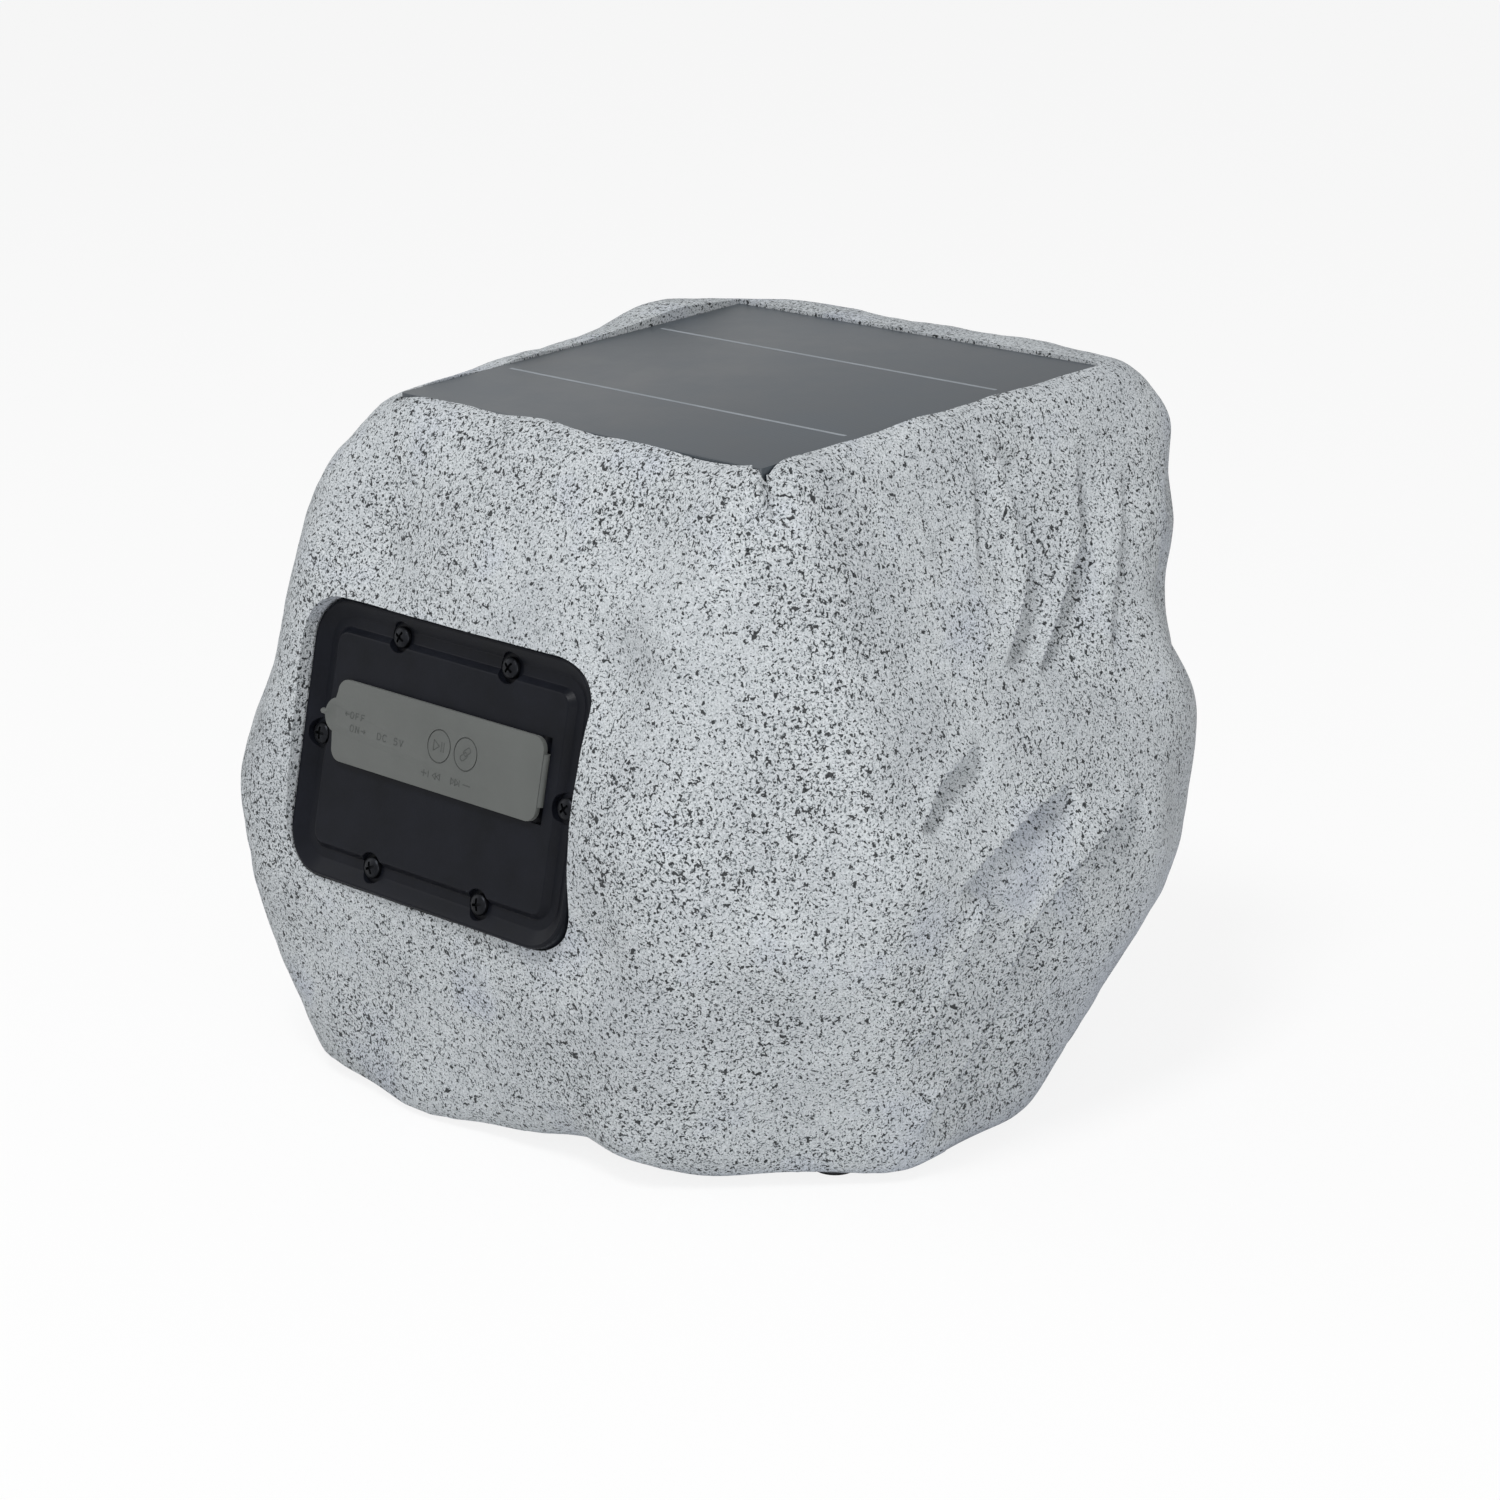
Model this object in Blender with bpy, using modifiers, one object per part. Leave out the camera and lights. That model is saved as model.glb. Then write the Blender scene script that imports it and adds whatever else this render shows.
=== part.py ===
"""Garden speaker in the shape of a chiselled boulder, with a solar panel let into its top.

The boulder is a hollow cast shell, open below and closed there by a screwed base plate. Its +Y
side holds a sealed control plate with a rubber port cover, its -Y side the loudspeaker behind a
perforated grille. Lengths are in metres, +Z is up, and the origin lies on the floor under the
middle of the boulder.
"""
from math import asin, ceil, cos, pi, radians, sin, sqrt, tan

import bmesh
import bpy
import numpy as np
from mathutils import Matrix, Vector

MM = 0.001

# Clearances
GAP = 0.3 * MM                 # between pieces that touch
FIT = 0.5 * MM                 # round a piece that drops into its seat
OVERSHOOT = 6.0 * MM           # how far a cutter runs past what it cuts
REACH_OUT = 40.0 * MM          # how far a pocket's cutter runs out of the boulder's side

# Boulder
ORIGIN_SHIFT = Vector((-3.96, 3.0, 0.0)) * MM    # brings the middle of its outline over the origin
ROCK_MIDDLE = Vector((0.0, 0.0, 95.0)) * MM
FACET_BLEND = 2.6 * MM         # how far two facets melt into each other
WALL = 6.5 * MM
TOP_WALL = 13.0 * MM           # the top carries the panel's recess
UNDER_WALL = 11.0 * MM         # the underside carries the base plate's rebate
OUTER_CUTS = 18                # quads along each side of the cube that becomes the outside
INNER_CUTS = 8
ROCK_LIFT = 1.5 * MM           # underside of the boulder above the floor

# Solar panel
PANEL_WIDTH = 132.0 * MM
PANEL_DEPTH = 130.0 * MM
PANEL_CORNER = 1.2 * MM
PANEL_THICK = 3.0 * MM
PANEL_TILT = radians(3.0)      # it falls towards the control side, which sheds rain
PANEL_TOP = 192.5 * MM         # height of the middle of its glass above the floor
PANEL_SUNK = 1.2 * MM          # glass below the rim
PANEL_LEDGE = 18.0 * MM        # shelf under the panel's edge
TAPE_THICK = 1.0 * MM
TAPE_WIDTH = 8.0 * MM
TAPE_INSET = 2.0 * MM
NOTCH_RADIUS = 4.2 * MM        # relief at the two front corners, to lift the panel out

# Control plate
PLATE_WIDTH = 107.0 * MM
PLATE_HEIGHT = 75.0 * MM
PLATE_CORNER = 12.5 * MM
PLATE_THICK = 5.0 * MM         # from its middle pad's face to its back
PLATE_LEAN = radians(11.8)
PLATE_MIDDLE = Vector((21.6, 94.1, 100.3)) * MM
PLATE_RIM = 0.6 * MM           # rim above the middle pad
PLATE_GROOVE = 1.4 * MM        # groove below the middle pad
RIM_WIDTH = 1.0 * MM
CHAMFER_WIDTH = 3.6 * MM
GROOVE_WIDTH = 3.1 * MM
STEP_WIDTH = 1.4 * MM
PLATE_LEDGE = 11.5 * MM        # width of the shell's shelf behind the plate
LEDGE_THICK = 7.0 * MM
GASKET_THICK = 0.9 * MM
PLATE_SCREW_X = 21.0 * MM
PLATE_SCREW_Y = PLATE_HEIGHT / 2 - 6.5 * MM
PLATE_SCREW_SIDE = PLATE_WIDTH / 2 - 5.9 * MM
SCREW_SEAT_RADIUS = 4.2 * MM
SCREW_SEAT_DEPTH = 1.9 * MM    # below the middle pad

# Port pocket and its rubber cover
COVER_WIDTH = PLATE_WIDTH - 26.6 * MM
COVER_HEIGHT = 22.0 * MM
COVER_CORNER = 3.6 * MM
COVER_THICK = 1.4 * MM
COVER_RISE = 5.5 * MM          # middle of the cover above the middle of the plate
TAB_RADIUS = 4.6 * MM
NUB_RADIUS = 0.8 * MM
NUB_LENGTH = 3.4 * MM
POCKET_WIDTH = COVER_WIDTH - 12.4 * MM
POCKET_HEIGHT = 14.0 * MM
POCKET_DEPTH = 7.0 * MM
POCKET_SHIFT = -2.4 * MM       # the pocket stops short of the hinge bead
POCKET_WALL = 1.5 * MM
SEAL_DEPTH = 1.4 * MM
SEAL_WIDTH = 1.4 * MM
BEAD_RADIUS = 1.5 * MM
KEY_RADIUS = 4.3 * MM
KEY_RISE = 0.3 * MM

# Switch, buttons and charging socket behind the cover
KEYS_RISE = 1.0 * MM           # the keys sit this far above the cover's middle line
SWITCH_AT = POCKET_SHIFT - POCKET_WIDTH / 2 + 5.4 * MM
SWITCH_LENGTH = 9.0 * MM
SWITCH_HEIGHT = 4.4 * MM
SWITCH_SLOT = 1.2 * MM         # depth of the slot that the knob slides in
KNOB_LENGTH = 2.4 * MM
KNOB_HEIGHT = 2.0 * MM
KNOB_TALL = 2.6 * MM
KNOB_TRAVEL = 2.5 * MM
PORTS_RISE = 3.4 * MM          # switch and socket above the pocket's floor
SOCKET_AT = SWITCH_AT + 13.5 * MM
SOCKET_WIDTH = 9.0 * MM
SOCKET_HEIGHT = 3.3 * MM
SOCKET_WALL = 0.45 * MM
SOCKET_FLOOR = 2.0 * MM
BUTTON_AT = (1.3 * MM, 11.5 * MM)
BUTTON_RADIUS = 2.9 * MM
BUTTON_TRAVEL = 0.5 * MM
TACT_SIZE = 6.0 * MM

# Circuit board and battery
BOARD_WIDTH = PLATE_WIDTH - 31.0 * MM
BOARD_HEIGHT = PLATE_HEIGHT - 31.0 * MM
BOARD_THICK = 1.6 * MM
BOARD_BEHIND = 11.0 * MM       # board face behind the middle pad's face
BOARD_HOLE_INSET = 4.0 * MM
POST_RADIUS = 2.6 * MM
CELL_RADIUS = 9.2 * MM
CELL_LENGTH = 65.0 * MM
CELL_COUNT = 2
TRAY_WALL = 2.0 * MM
TRAY_RIB = 1.2 * MM            # between neighbouring cells

# Loudspeaker, grille and trim ring
SPEAKER_FACE = Vector((-2.0, -104.0, 101.0)) * MM
SPEAKER_LEAN = radians(6.0)
GRILLE_RADIUS = 55.0 * MM
GRILLE_THICK = 1.2 * MM
GRILLE_SUNK = 5.6 * MM         # back of the grille below the boulder's facet
GRILLE_PITCH = 9.6 * MM
GRILLE_HOLE = 3.2 * MM         # radius
RING_WIDTH = 6.0 * MM
RING_HEIGHT = 3.0 * MM
DRIVER_RADIUS = 50.0 * MM
DRIVER_SEAT = 17.0 * MM        # ledge below the facet
DRIVER_SCREW_RING = 46.2 * MM
FRAME_THICK = 2.4 * MM
FRAME_LIP = 40.0 * MM          # inner radius of the frame's front
SHEET = 1.4 * MM               # basket wall
BASKET_MOUTH = 43.0 * MM
BASKET_CUP = 28.0 * MM
BASKET_DEPTH = 25.0 * MM
SPIDER_SHELF = 6.3 * MM        # above the basket's back
SHELF_WIDTH = 3.0 * MM
CONE_RADIUS = 34.0 * MM
CONE_DEPTH = 15.0 * MM
CONE_WALL = 0.8 * MM
CAP_HEIGHT = 4.5 * MM
CAP_BRIM = 2.2 * MM
ROLL_WIDTH = 6.0 * MM
ROLL_LIP = 2.1 * MM
ROLL_WALL = 0.8 * MM
COIL_RADIUS = 12.7 * MM        # inside of the former
COIL_WALL = 0.7 * MM
COIL_LENGTH = 15.0 * MM
COIL_AIR = 0.5 * MM            # on each side of the coil in the magnet's gap
MAGNET_RADIUS = 30.0 * MM
MAGNET_THICK = 12.0 * MM
IRON_INSET = 2.0 * MM
IRON_THICK = 4.0 * MM
RIPPLE = 1.0 * MM
RIPPLE_COUNT = 6

# Base plate, feet and screws
BASE_WIDTH = 112.0 * MM
BASE_DEPTH = 122.0 * MM
BASE_CORNER = 18.0 * MM
BASE_THICK = 3.0 * MM
BASE_LEDGE = 9.0 * MM
FOOT_RADIUS = 6.0 * MM
FOOT_RECESS = 1.5 * MM
FOOT_EDGE = 0.8 * MM
FOOT_X = BASE_WIDTH / 2 + 15.0 * MM
FOOT_Y = (41.5 * MM, -31.0 * MM)    # control side, speaker side
PEG_RADIUS = 1.6 * MM
PEG_LENGTH = 4.0 * MM
SCREW_SHANK = 1.3 * MM         # radius
SCREW_HEAD = 2.9 * MM          # radius
SCREW_HEAD_HIGH = 1.7 * MM
SCREW_BITE = 4.5 * MM          # how deep a screw goes into what it holds on to
BOARD_BITE = 3.5 * MM
ROUND = 16                     # sides of a turned piece
SMALL_ROUND = 8                # sides of a screw or a peg

# Chisel facets of the boulder: compass turn from +X towards +Y, tilt above the level, and the
# distance from ROCK_MIDDLE in millimetres
FACETS = (
    # control side
    (91, 10, 96.4), (91, -8, 104.5), (110, -64, 121.2), (126, -56, 130.9), (92, -62, 128.8),
    # between the control side and the far side
    (48, 13, 130.0), (55, -10, 140.7), (60, -20, 141.5), (77, -48, 144.9),
    # near corner
    (137, -18, 117.2), (141, -66, 130.4),
    # right face
    (178, -12, 109.8), (-169, -49, 133.9), (-172, -66, 122.6),
    # between the right face and the speaker side
    (-143, -1, 115.3), (-153, -28, 118.4),
    # speaker side
    (-90, 6, 104.0), (-88, -20, 110.0),
    # far side
    (0, 8, 113.3), (4, -22, 118.4), (-42, 8, 126.0), (-45, -25, 130.0),
)
# Facets that fall away from the panel: turn, tilt, and the lip left outside the panel in mm
RIM_FACETS = (
    (90, 29, 4.7), (38, 43, 2.4), (134, 10, 4.6), (180, 20, 3.9), (-131, 43, 8.5),
    (-94, 75, 5.4), (-90, 45, 14.5), (14, 68, 3.6), (8, 48, 5.4), (-40, 50, 6.5),
)
# Hollows and swellings: middle, size and depth in mm; a depth below zero swells outwards
HOLLOWS = (
    ((49, 88, 158), 12, 3.5), ((-40, 80, 172), 12, 4.5), ((-38, 88, 138), 9, 4.0),
    ((-40, 98, 66), 9, 3.0), ((-46, 96, 100), 12, -3.0), ((-86, -74, 105), 12, -8.3),
    ((-81, -81, 129), 14, 8.3), ((-83, -77, 75), 14, -5.1), ((-76, -89, 165), 9, 3.9),
    ((78, -41, 194), 13, -3.3), ((76, 60, 184), 5, -1.5), ((104, 89, 83), 12, -2.9),
    ((33, 90, 5), 12, -3.2), ((-21, 89, 6), 9, 2.9), ((-51, 71, 5), 11, -2.4),
    ((-89, 33, 6), 11, -1.3), ((-88, -14, 7), 11, -1.0), ((70, -60, 60), 26, 3.0),
    ((60, 70, 150), 16, 2.0), ((100, 10, 120), 22, 3.5), ((60, -95, 40), 20, 3.0),
)
# Folds that run down the boulder: points, half width and depth in mm
FOLDS = (
    (((-76, -11, 186), (-86, -9, 160), (-97, 5, 129)), 5.0, 4.0),
    (((-78, -42, 181), (-89, -29, 153), (-102, -4, 115)), 5.0, 4.0),
    (((-102, 28, 116), (-105, 44, 107)), 5.0, 4.0),
    (((-108, 10, 97), (-108, 33, 85)), 5.0, 4.5),
    (((-110, -29, 89), (-104, 9, 59), (-94, 31, 18)), 5.5, 4.5),
    (((-106, 23, 74), (-99, 35, 43)), 5.0, 4.0),
    (((-66, 67, 190), (-75, 64, 177)), 4.0, 4.0),
    (((112, -34, 150), (116, -20, 104), (104, 4, 60)), 6.0, 3.5),
)

# Colours of the pieces (linear), roughness, metallic
FINISHES = {
    "cast_stone_resin": ((0.56, 0.58, 0.59), 0.85, 0.0),
    "black_abs": ((0.018, 0.02, 0.024), 0.5, 0.0),
    "grey_silicone": ((0.135, 0.145, 0.138), 0.62, 0.0),
    "panel_laminate": ((0.16, 0.18, 0.2), 0.28, 0.0),
    "foam_tape": ((0.05, 0.05, 0.05), 0.95, 0.0),
    "black_steel": ((0.02, 0.02, 0.022), 0.4, 1.0),
    "zinc_steel": ((0.6, 0.6, 0.6), 0.35, 1.0),
    "white_nylon": ((0.75, 0.75, 0.72), 0.45, 0.0),
    "green_laminate": ((0.02, 0.12, 0.05), 0.5, 0.0),
    "cell_wrap": ((0.02, 0.09, 0.3), 0.4, 0.0),
    "ferrite": ((0.04, 0.04, 0.04), 0.7, 0.0),
    "pulp_paper": ((0.03, 0.03, 0.03), 0.9, 0.0),
    "rubber": ((0.015, 0.015, 0.015), 0.8, 0.0),
    "treated_cloth": ((0.5, 0.33, 0.12), 0.9, 0.0),
    "copper": ((0.72, 0.32, 0.15), 0.35, 1.0),
}


# Scene helpers

def clear_scene():
    for item in list(bpy.data.objects):
        bpy.data.objects.remove(item, do_unlink=True)


def new_collection(name):
    group = bpy.data.collections.new(name)
    bpy.context.scene.collection.children.link(group)
    return group


def material(name):
    found = bpy.data.materials.get(name)
    if found:
        return found
    colour, roughness, metallic = FINISHES[name]
    made = bpy.data.materials.new(name)
    made.use_nodes = True
    shader = made.node_tree.nodes["Principled BSDF"]
    shader.inputs["Base Color"].default_value = (*colour, 1.0)
    shader.inputs["Roughness"].default_value = roughness
    shader.inputs["Metallic"].default_value = metallic
    made.diffuse_color = (*colour, 1.0)
    return made


def station(name, place, across, outward):
    """An empty at a place on the boulder: +X runs across the face there, +Z points outward."""
    axis_z = outward.normalized()
    axis_y = axis_z.cross(across).normalized()
    axis_x = axis_y.cross(axis_z)
    made = bpy.data.objects.new(name, None)
    made.empty_display_size = 0.02
    turn = Matrix((axis_x, axis_y, axis_z)).transposed()
    made.matrix_basis = Matrix.Translation(place) @ turn.to_4x4()
    PARTS.objects.link(made)
    return made


def put(thing, carrier, at=(0.0, 0.0, 0.0)):
    """Place a piece, or a cutter, at a point of its station."""
    thing.location = at
    thing.parent = carrier
    return thing


def put_all(carrier, *things):
    return [put(thing, carrier) for thing in things]


def finish(thing, finish_name, sharp_above=35.0):
    thing.data.materials.clear()
    thing.data.materials.append(material(finish_name))
    thing.data.shade_smooth()
    thing.data.set_sharp_from_angle(angle=radians(sharp_above))
    return thing


def link(thing, group):
    (group or PARTS).objects.link(thing)
    if group is CUTTERS:
        thing.hide_render = True
        thing.display_type = "WIRE"
    return thing


def from_bmesh(name, made_of, group=None):
    mesh = bpy.data.meshes.new(name)
    bmesh.ops.recalc_face_normals(made_of, faces=made_of.faces)
    made_of.to_mesh(mesh)
    made_of.free()
    return link(bpy.data.objects.new(name, mesh), group)


def frozen(thing, name, group=None):
    """Turn a curve, or a mesh with modifiers, into a plain welded mesh object."""
    bpy.context.view_layer.update()
    graph = bpy.context.evaluated_depsgraph_get()
    mesh = bpy.data.meshes.new_from_object(thing.evaluated_get(graph))
    mesh.name = name
    matrix = thing.matrix_world.copy()
    bpy.data.objects.remove(thing, do_unlink=True)
    welded = bmesh.new()
    welded.from_mesh(mesh)
    bmesh.ops.remove_doubles(welded, verts=welded.verts, dist=0.00001)
    bmesh.ops.recalc_face_normals(welded, faces=welded.faces)
    welded.to_mesh(mesh)
    welded.free()
    mesh.transform(matrix)
    return link(bpy.data.objects.new(name, mesh), group)


# Outlines and solids

def arc(middle, radius, start, end, steps):
    return [(middle[0] + radius * cos(start + (end - start) * i / steps),
             middle[1] + radius * sin(start + (end - start) * i / steps))
            for i in range(steps + 1)]


def circle(radius, middle=(0.0, 0.0), sides=ROUND):
    return arc(middle, radius, 0.0, 2.0 * pi, sides)[:-1]


def rounded(width, height, corner, middle=(0.0, 0.0), steps=4):
    """A rectangle with round corners."""
    x, y = width / 2 - corner, height / 2 - corner
    points = []
    for quarter, (sx, sy) in enumerate(((1, 1), (-1, 1), (-1, -1), (1, -1))):
        centre = (middle[0] + sx * x, middle[1] + sy * y)
        points += arc(centre, corner, quarter * pi / 2, (quarter + 1) * pi / 2, steps)
    return points


def slab(name, loops, low, high, group=None):
    """A flat outline, its first loop cut by the others, between two levels."""
    curve = bpy.data.curves.new(name, "CURVE")
    curve.dimensions = "2D"
    curve.fill_mode = "BOTH"
    curve.extrude = (high - low) / 2
    for loop in loops:
        spline = curve.splines.new("POLY")
        spline.points.add(len(loop) - 1)
        for point, (x, y) in zip(spline.points, loop):
            point.co = (x, y, 0.0, 1.0)
        spline.use_cyclic_u = True
    drawn = bpy.data.objects.new(name, curve)
    drawn.location = (0.0, 0.0, (high + low) / 2)
    PARTS.objects.link(drawn)
    return frozen(drawn, name, group)


def pegs(name, places, radius, low, high, sides=SMALL_ROUND):
    """Like round cutters or bosses at several places, as one helper solid."""
    return gathered(name, [slab("peg", [circle(radius, place, sides)], low, high)
                           for place in places], CUTTERS)


def turned(name, profile, steps=ROUND, group=None):
    """Turn a profile of (radius, level) points about Z, down its outer side first."""
    mesh = bpy.data.meshes.new(name)
    count = len(profile)
    edges = [(i, (i + 1) % count) for i in range(count)]
    if max(profile[0][0], profile[-1][0]) < 0.000001:
        edges.pop()
    mesh.from_pydata([(r, 0.0, z) for r, z in profile], edges, [])
    made = link(bpy.data.objects.new(name, mesh), None)
    screw = made.modifiers.new("turn", "SCREW")
    screw.steps = steps
    screw.render_steps = steps
    screw.use_merge_vertices = True
    screw.merge_threshold = 0.00001
    screw.use_smooth_shade = True
    return frozen(made, name, group)


def gathered(name, solids, group):
    """Several separate helper solids in one object."""
    joined = bmesh.new()
    for solid in solids:
        solid.data.transform(solid.matrix_basis)
        joined.from_mesh(solid.data)
        bpy.data.objects.remove(solid, do_unlink=True)
    return from_bmesh(name, joined, group)


def lay(thing, axis):
    """Lay an upright solid along X or Y."""
    thing.data.transform(Matrix.Rotation(radians(90), 4, "Y" if axis == "X" else "X"))
    return thing


def bevelled(thing, width, limit=50.0):
    edge = thing.modifiers.new("edge", "BEVEL")
    edge.width = width
    edge.segments = 1
    edge.limit_method = "ANGLE"
    edge.angle_limit = radians(limit)
    return thing


def boolean(thing, others, operation):
    for other in others:
        step = thing.modifiers.new(other.name, "BOOLEAN")
        step.operation = operation
        step.solver = "EXACT"
        step.object = other
    return thing


# The boulder

def unit(turn, tilt):
    a, e = radians(turn), radians(tilt)
    return np.array((cos(a) * cos(e), sin(a) * cos(e), sin(e)))


def panel_corners():
    """The panel's glass corners, seen from the boulder's middle."""
    places = []
    for sx in (-1, 1):
        for sy in (-1, 1):
            y = sy * PANEL_DEPTH / 2
            places.append(np.array((sx * PANEL_WIDTH / 2, y,
                                    PANEL_TOP - y * tan(PANEL_TILT) - ROCK_MIDDLE.z)))
    return places


def facet_planes(inset, top_inset, under_inset):
    """Normals and distances of every facet, moved inwards by the wall."""
    normals, distances = [], []
    for turn, tilt, distance in FACETS:
        normals.append(unit(turn, tilt))
        distances.append(distance * MM - inset)
    for turn, tilt, lip in RIM_FACETS:
        normal = unit(turn, tilt)
        normals.append(normal)
        distances.append(max(normal @ corner for corner in panel_corners()) + lip * MM - inset)
    normals.append(unit(90.0, 90.0 - PANEL_TILT * 180.0 / pi))
    distances.append((PANEL_TOP - ROCK_MIDDLE.z) * cos(PANEL_TILT) + PANEL_SUNK - top_inset)
    normals.append(unit(0.0, -90.0))
    distances.append(ROCK_MIDDLE.z - ROCK_LIFT - under_inset)
    return np.array(normals), np.array(distances)


def fold_depth(points, path, half_width, depth):
    """A rounded groove along a path."""
    nearest = np.full(len(points), np.inf)
    for start, end in zip(path[:-1], path[1:]):
        a, b = np.array(start) * MM, np.array(end) * MM
        along = np.clip((points - a) @ (b - a) / ((b - a) @ (b - a)), 0.0, 1.0)
        away = points - a - along[:, None] * (b - a)
        nearest = np.minimum(nearest, np.sqrt((away * away).sum(axis=1)))
    return depth * MM * np.exp(-(nearest / (half_width * MM)) ** 2)


def rock_field(points, planes, carved):
    """Below zero inside the boulder, above zero outside it."""
    normals, distances = planes
    height = (points - np.array(ROCK_MIDDLE)) @ normals.T - distances
    top = height.max(axis=1)
    blend = np.exp((height - top[:, None]) / FACET_BLEND).sum(axis=1)
    field = top + FACET_BLEND * np.log(blend)
    if carved:
        for place, size, depth in HOLLOWS:
            away = points - np.array(place) * MM
            spread = (away * away).sum(axis=1) / (2.0 * (size * MM) ** 2)
            field += depth * MM * np.exp(-spread)
        for path, half_width, depth in FOLDS:
            field += fold_depth(points, path, half_width, depth)
        # the underside stays level
        field = np.maximum(field, ROCK_LIFT - points[:, 2])
    return field


def rock_points(directions, planes, carved):
    """Where each direction from the boulder's middle meets its surface, by halving."""
    middle = np.array(ROCK_MIDDLE)
    low = np.full(len(directions), 20.0 * MM)
    high = np.full(len(directions), 240.0 * MM)
    for _ in range(28):
        reach = (low + high) / 2
        outside = rock_field(middle + directions * reach[:, None], planes, carved) > 0.0
        high = np.where(outside, reach, high)
        low = np.where(outside, low, reach)
    return middle + directions * ((low + high) / 2)[:, None]


def rock_mesh(name, cuts, planes, carved, group=None):
    """A cube, evenly divided, pushed out to the boulder's surface."""
    cage = bmesh.new()
    bmesh.ops.create_cube(cage, size=2.0)
    bmesh.ops.subdivide_edges(cage, edges=cage.edges, cuts=cuts - 1, use_grid_fill=True)
    cube = np.array([vert.co[:] for vert in cage.verts])
    spread = np.tan(cube * pi / 4)
    directions = spread / np.linalg.norm(spread, axis=1)[:, None]
    for vert, place in zip(cage.verts, rock_points(directions, planes, carved)):
        vert.co = place
    return from_bmesh(name, cage, group)


def rock_shell():
    """Boulder less its cavity, which leaves a solid block behind the plate and the driver."""
    shell = put(rock_mesh("rock_shell", OUTER_CUTS, facet_planes(0.0, 0.0, 0.0), True), ORIGIN)
    cavity = put(rock_mesh("rock_cavity", INNER_CUTS, facet_planes(WALL, TOP_WALL, UNDER_WALL),
                           False, CUTTERS), ORIGIN)
    plate_block = slab("plate_block", [rounded(PLATE_WIDTH + 2 * WALL, PLATE_HEIGHT + 2 * WALL,
                                               PLATE_CORNER + WALL)],
                       plate_ledge() - LEDGE_THICK, REACH_OUT, CUTTERS)
    driver_block = slab("driver_block", [circle(GRILLE_RADIUS + WALL)],
                        -DRIVER_SEAT - LEDGE_THICK, REACH_OUT, CUTTERS)
    boolean(cavity, [put(plate_block, PLATE_STATION), put(driver_block, SPEAKER_STATION)],
            "DIFFERENCE")
    boolean(shell, [cavity, *panel_cutters(), *plate_cutters(), *speaker_cutters(),
                    *base_cutters()], "DIFFERENCE")
    return finish(shell, "cast_stone_resin", 40.0)


# Solar panel. Levels are measured from its glass.

def panel_floor():
    return -PANEL_THICK - TAPE_THICK - 2 * GAP


def recess_outline():
    """The panel's outline with its clearance, and a round relief at each front corner."""
    x, y = PANEL_WIDTH / 2, PANEL_DEPTH / 2
    entry = asin(FIT / NOTCH_RADIUS)
    right = arc((x, y), NOTCH_RADIUS, entry - pi / 2, pi - entry, 10)
    left = [(-px, py) for px, py in reversed(right)]
    return right + left + [(-x - FIT, -y - FIT), (x + FIT, -y - FIT)]


def panel_cutters():
    recess = slab("panel_recess", [recess_outline()], panel_floor(), REACH_OUT / 2, CUTTERS)
    window = slab("panel_window", [rounded(PANEL_WIDTH - 2 * PANEL_LEDGE,
                                           PANEL_DEPTH - 2 * PANEL_LEDGE, 6 * MM)],
                  -TOP_WALL - OVERSHOOT, panel_floor() + OVERSHOOT / 2, CUTTERS)
    return put_all(PANEL_STATION, recess, window)


def solar_panel():
    panel = slab("solar_panel", [rounded(PANEL_WIDTH, PANEL_DEPTH, PANEL_CORNER, steps=2)],
                 -PANEL_THICK, 0.0)
    bevelled(panel, 0.3 * MM)
    finish(put(panel, PANEL_STATION), "panel_laminate")
    width, depth = PANEL_WIDTH - 2 * TAPE_INSET, PANEL_DEPTH - 2 * TAPE_INSET
    tape = slab("panel_tape", [
        rounded(width, depth, PANEL_CORNER, steps=2),
        rounded(width - 2 * TAPE_WIDTH, depth - 2 * TAPE_WIDTH, PANEL_CORNER, steps=2)],
                panel_floor() + GAP, -PANEL_THICK - GAP)
    finish(put(tape, PANEL_STATION), "foam_tape")


# Control plate. Levels are measured outwards from the face of its middle pad.

def plate_ledge():
    return -PLATE_THICK - GASKET_THICK - 2 * GAP


def plate_screw_places():
    corners = [(sx * PLATE_SCREW_X, sy * PLATE_SCREW_Y) for sx in (-1, 1) for sy in (-1, 1)]
    return corners + [(-PLATE_SCREW_SIDE, 0.0), (PLATE_SCREW_SIDE, 0.0)]


def plate_window(steps):
    return rounded(PLATE_WIDTH - 2 * PLATE_LEDGE, PLATE_HEIGHT - 2 * PLATE_LEDGE, 4 * MM,
                   steps=steps)


def plate_cutters():
    pocket = slab("plate_pocket", [rounded(PLATE_WIDTH + 2 * FIT, PLATE_HEIGHT + 2 * FIT,
                                           PLATE_CORNER + FIT, steps=5)],
                  plate_ledge(), REACH_OUT, CUTTERS)
    window = slab("plate_window", [plate_window(3)], plate_ledge() - LEDGE_THICK - 2 * OVERSHOOT,
                  plate_ledge() + OVERSHOOT / 3, CUTTERS)
    holes = pegs("plate_screw_holes", plate_screw_places(), SCREW_SHANK + GAP,
                 plate_ledge() - SCREW_BITE - GAP, plate_ledge() + OVERSHOOT / 3)
    return put_all(PLATE_STATION, pocket, window, holes)


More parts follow.
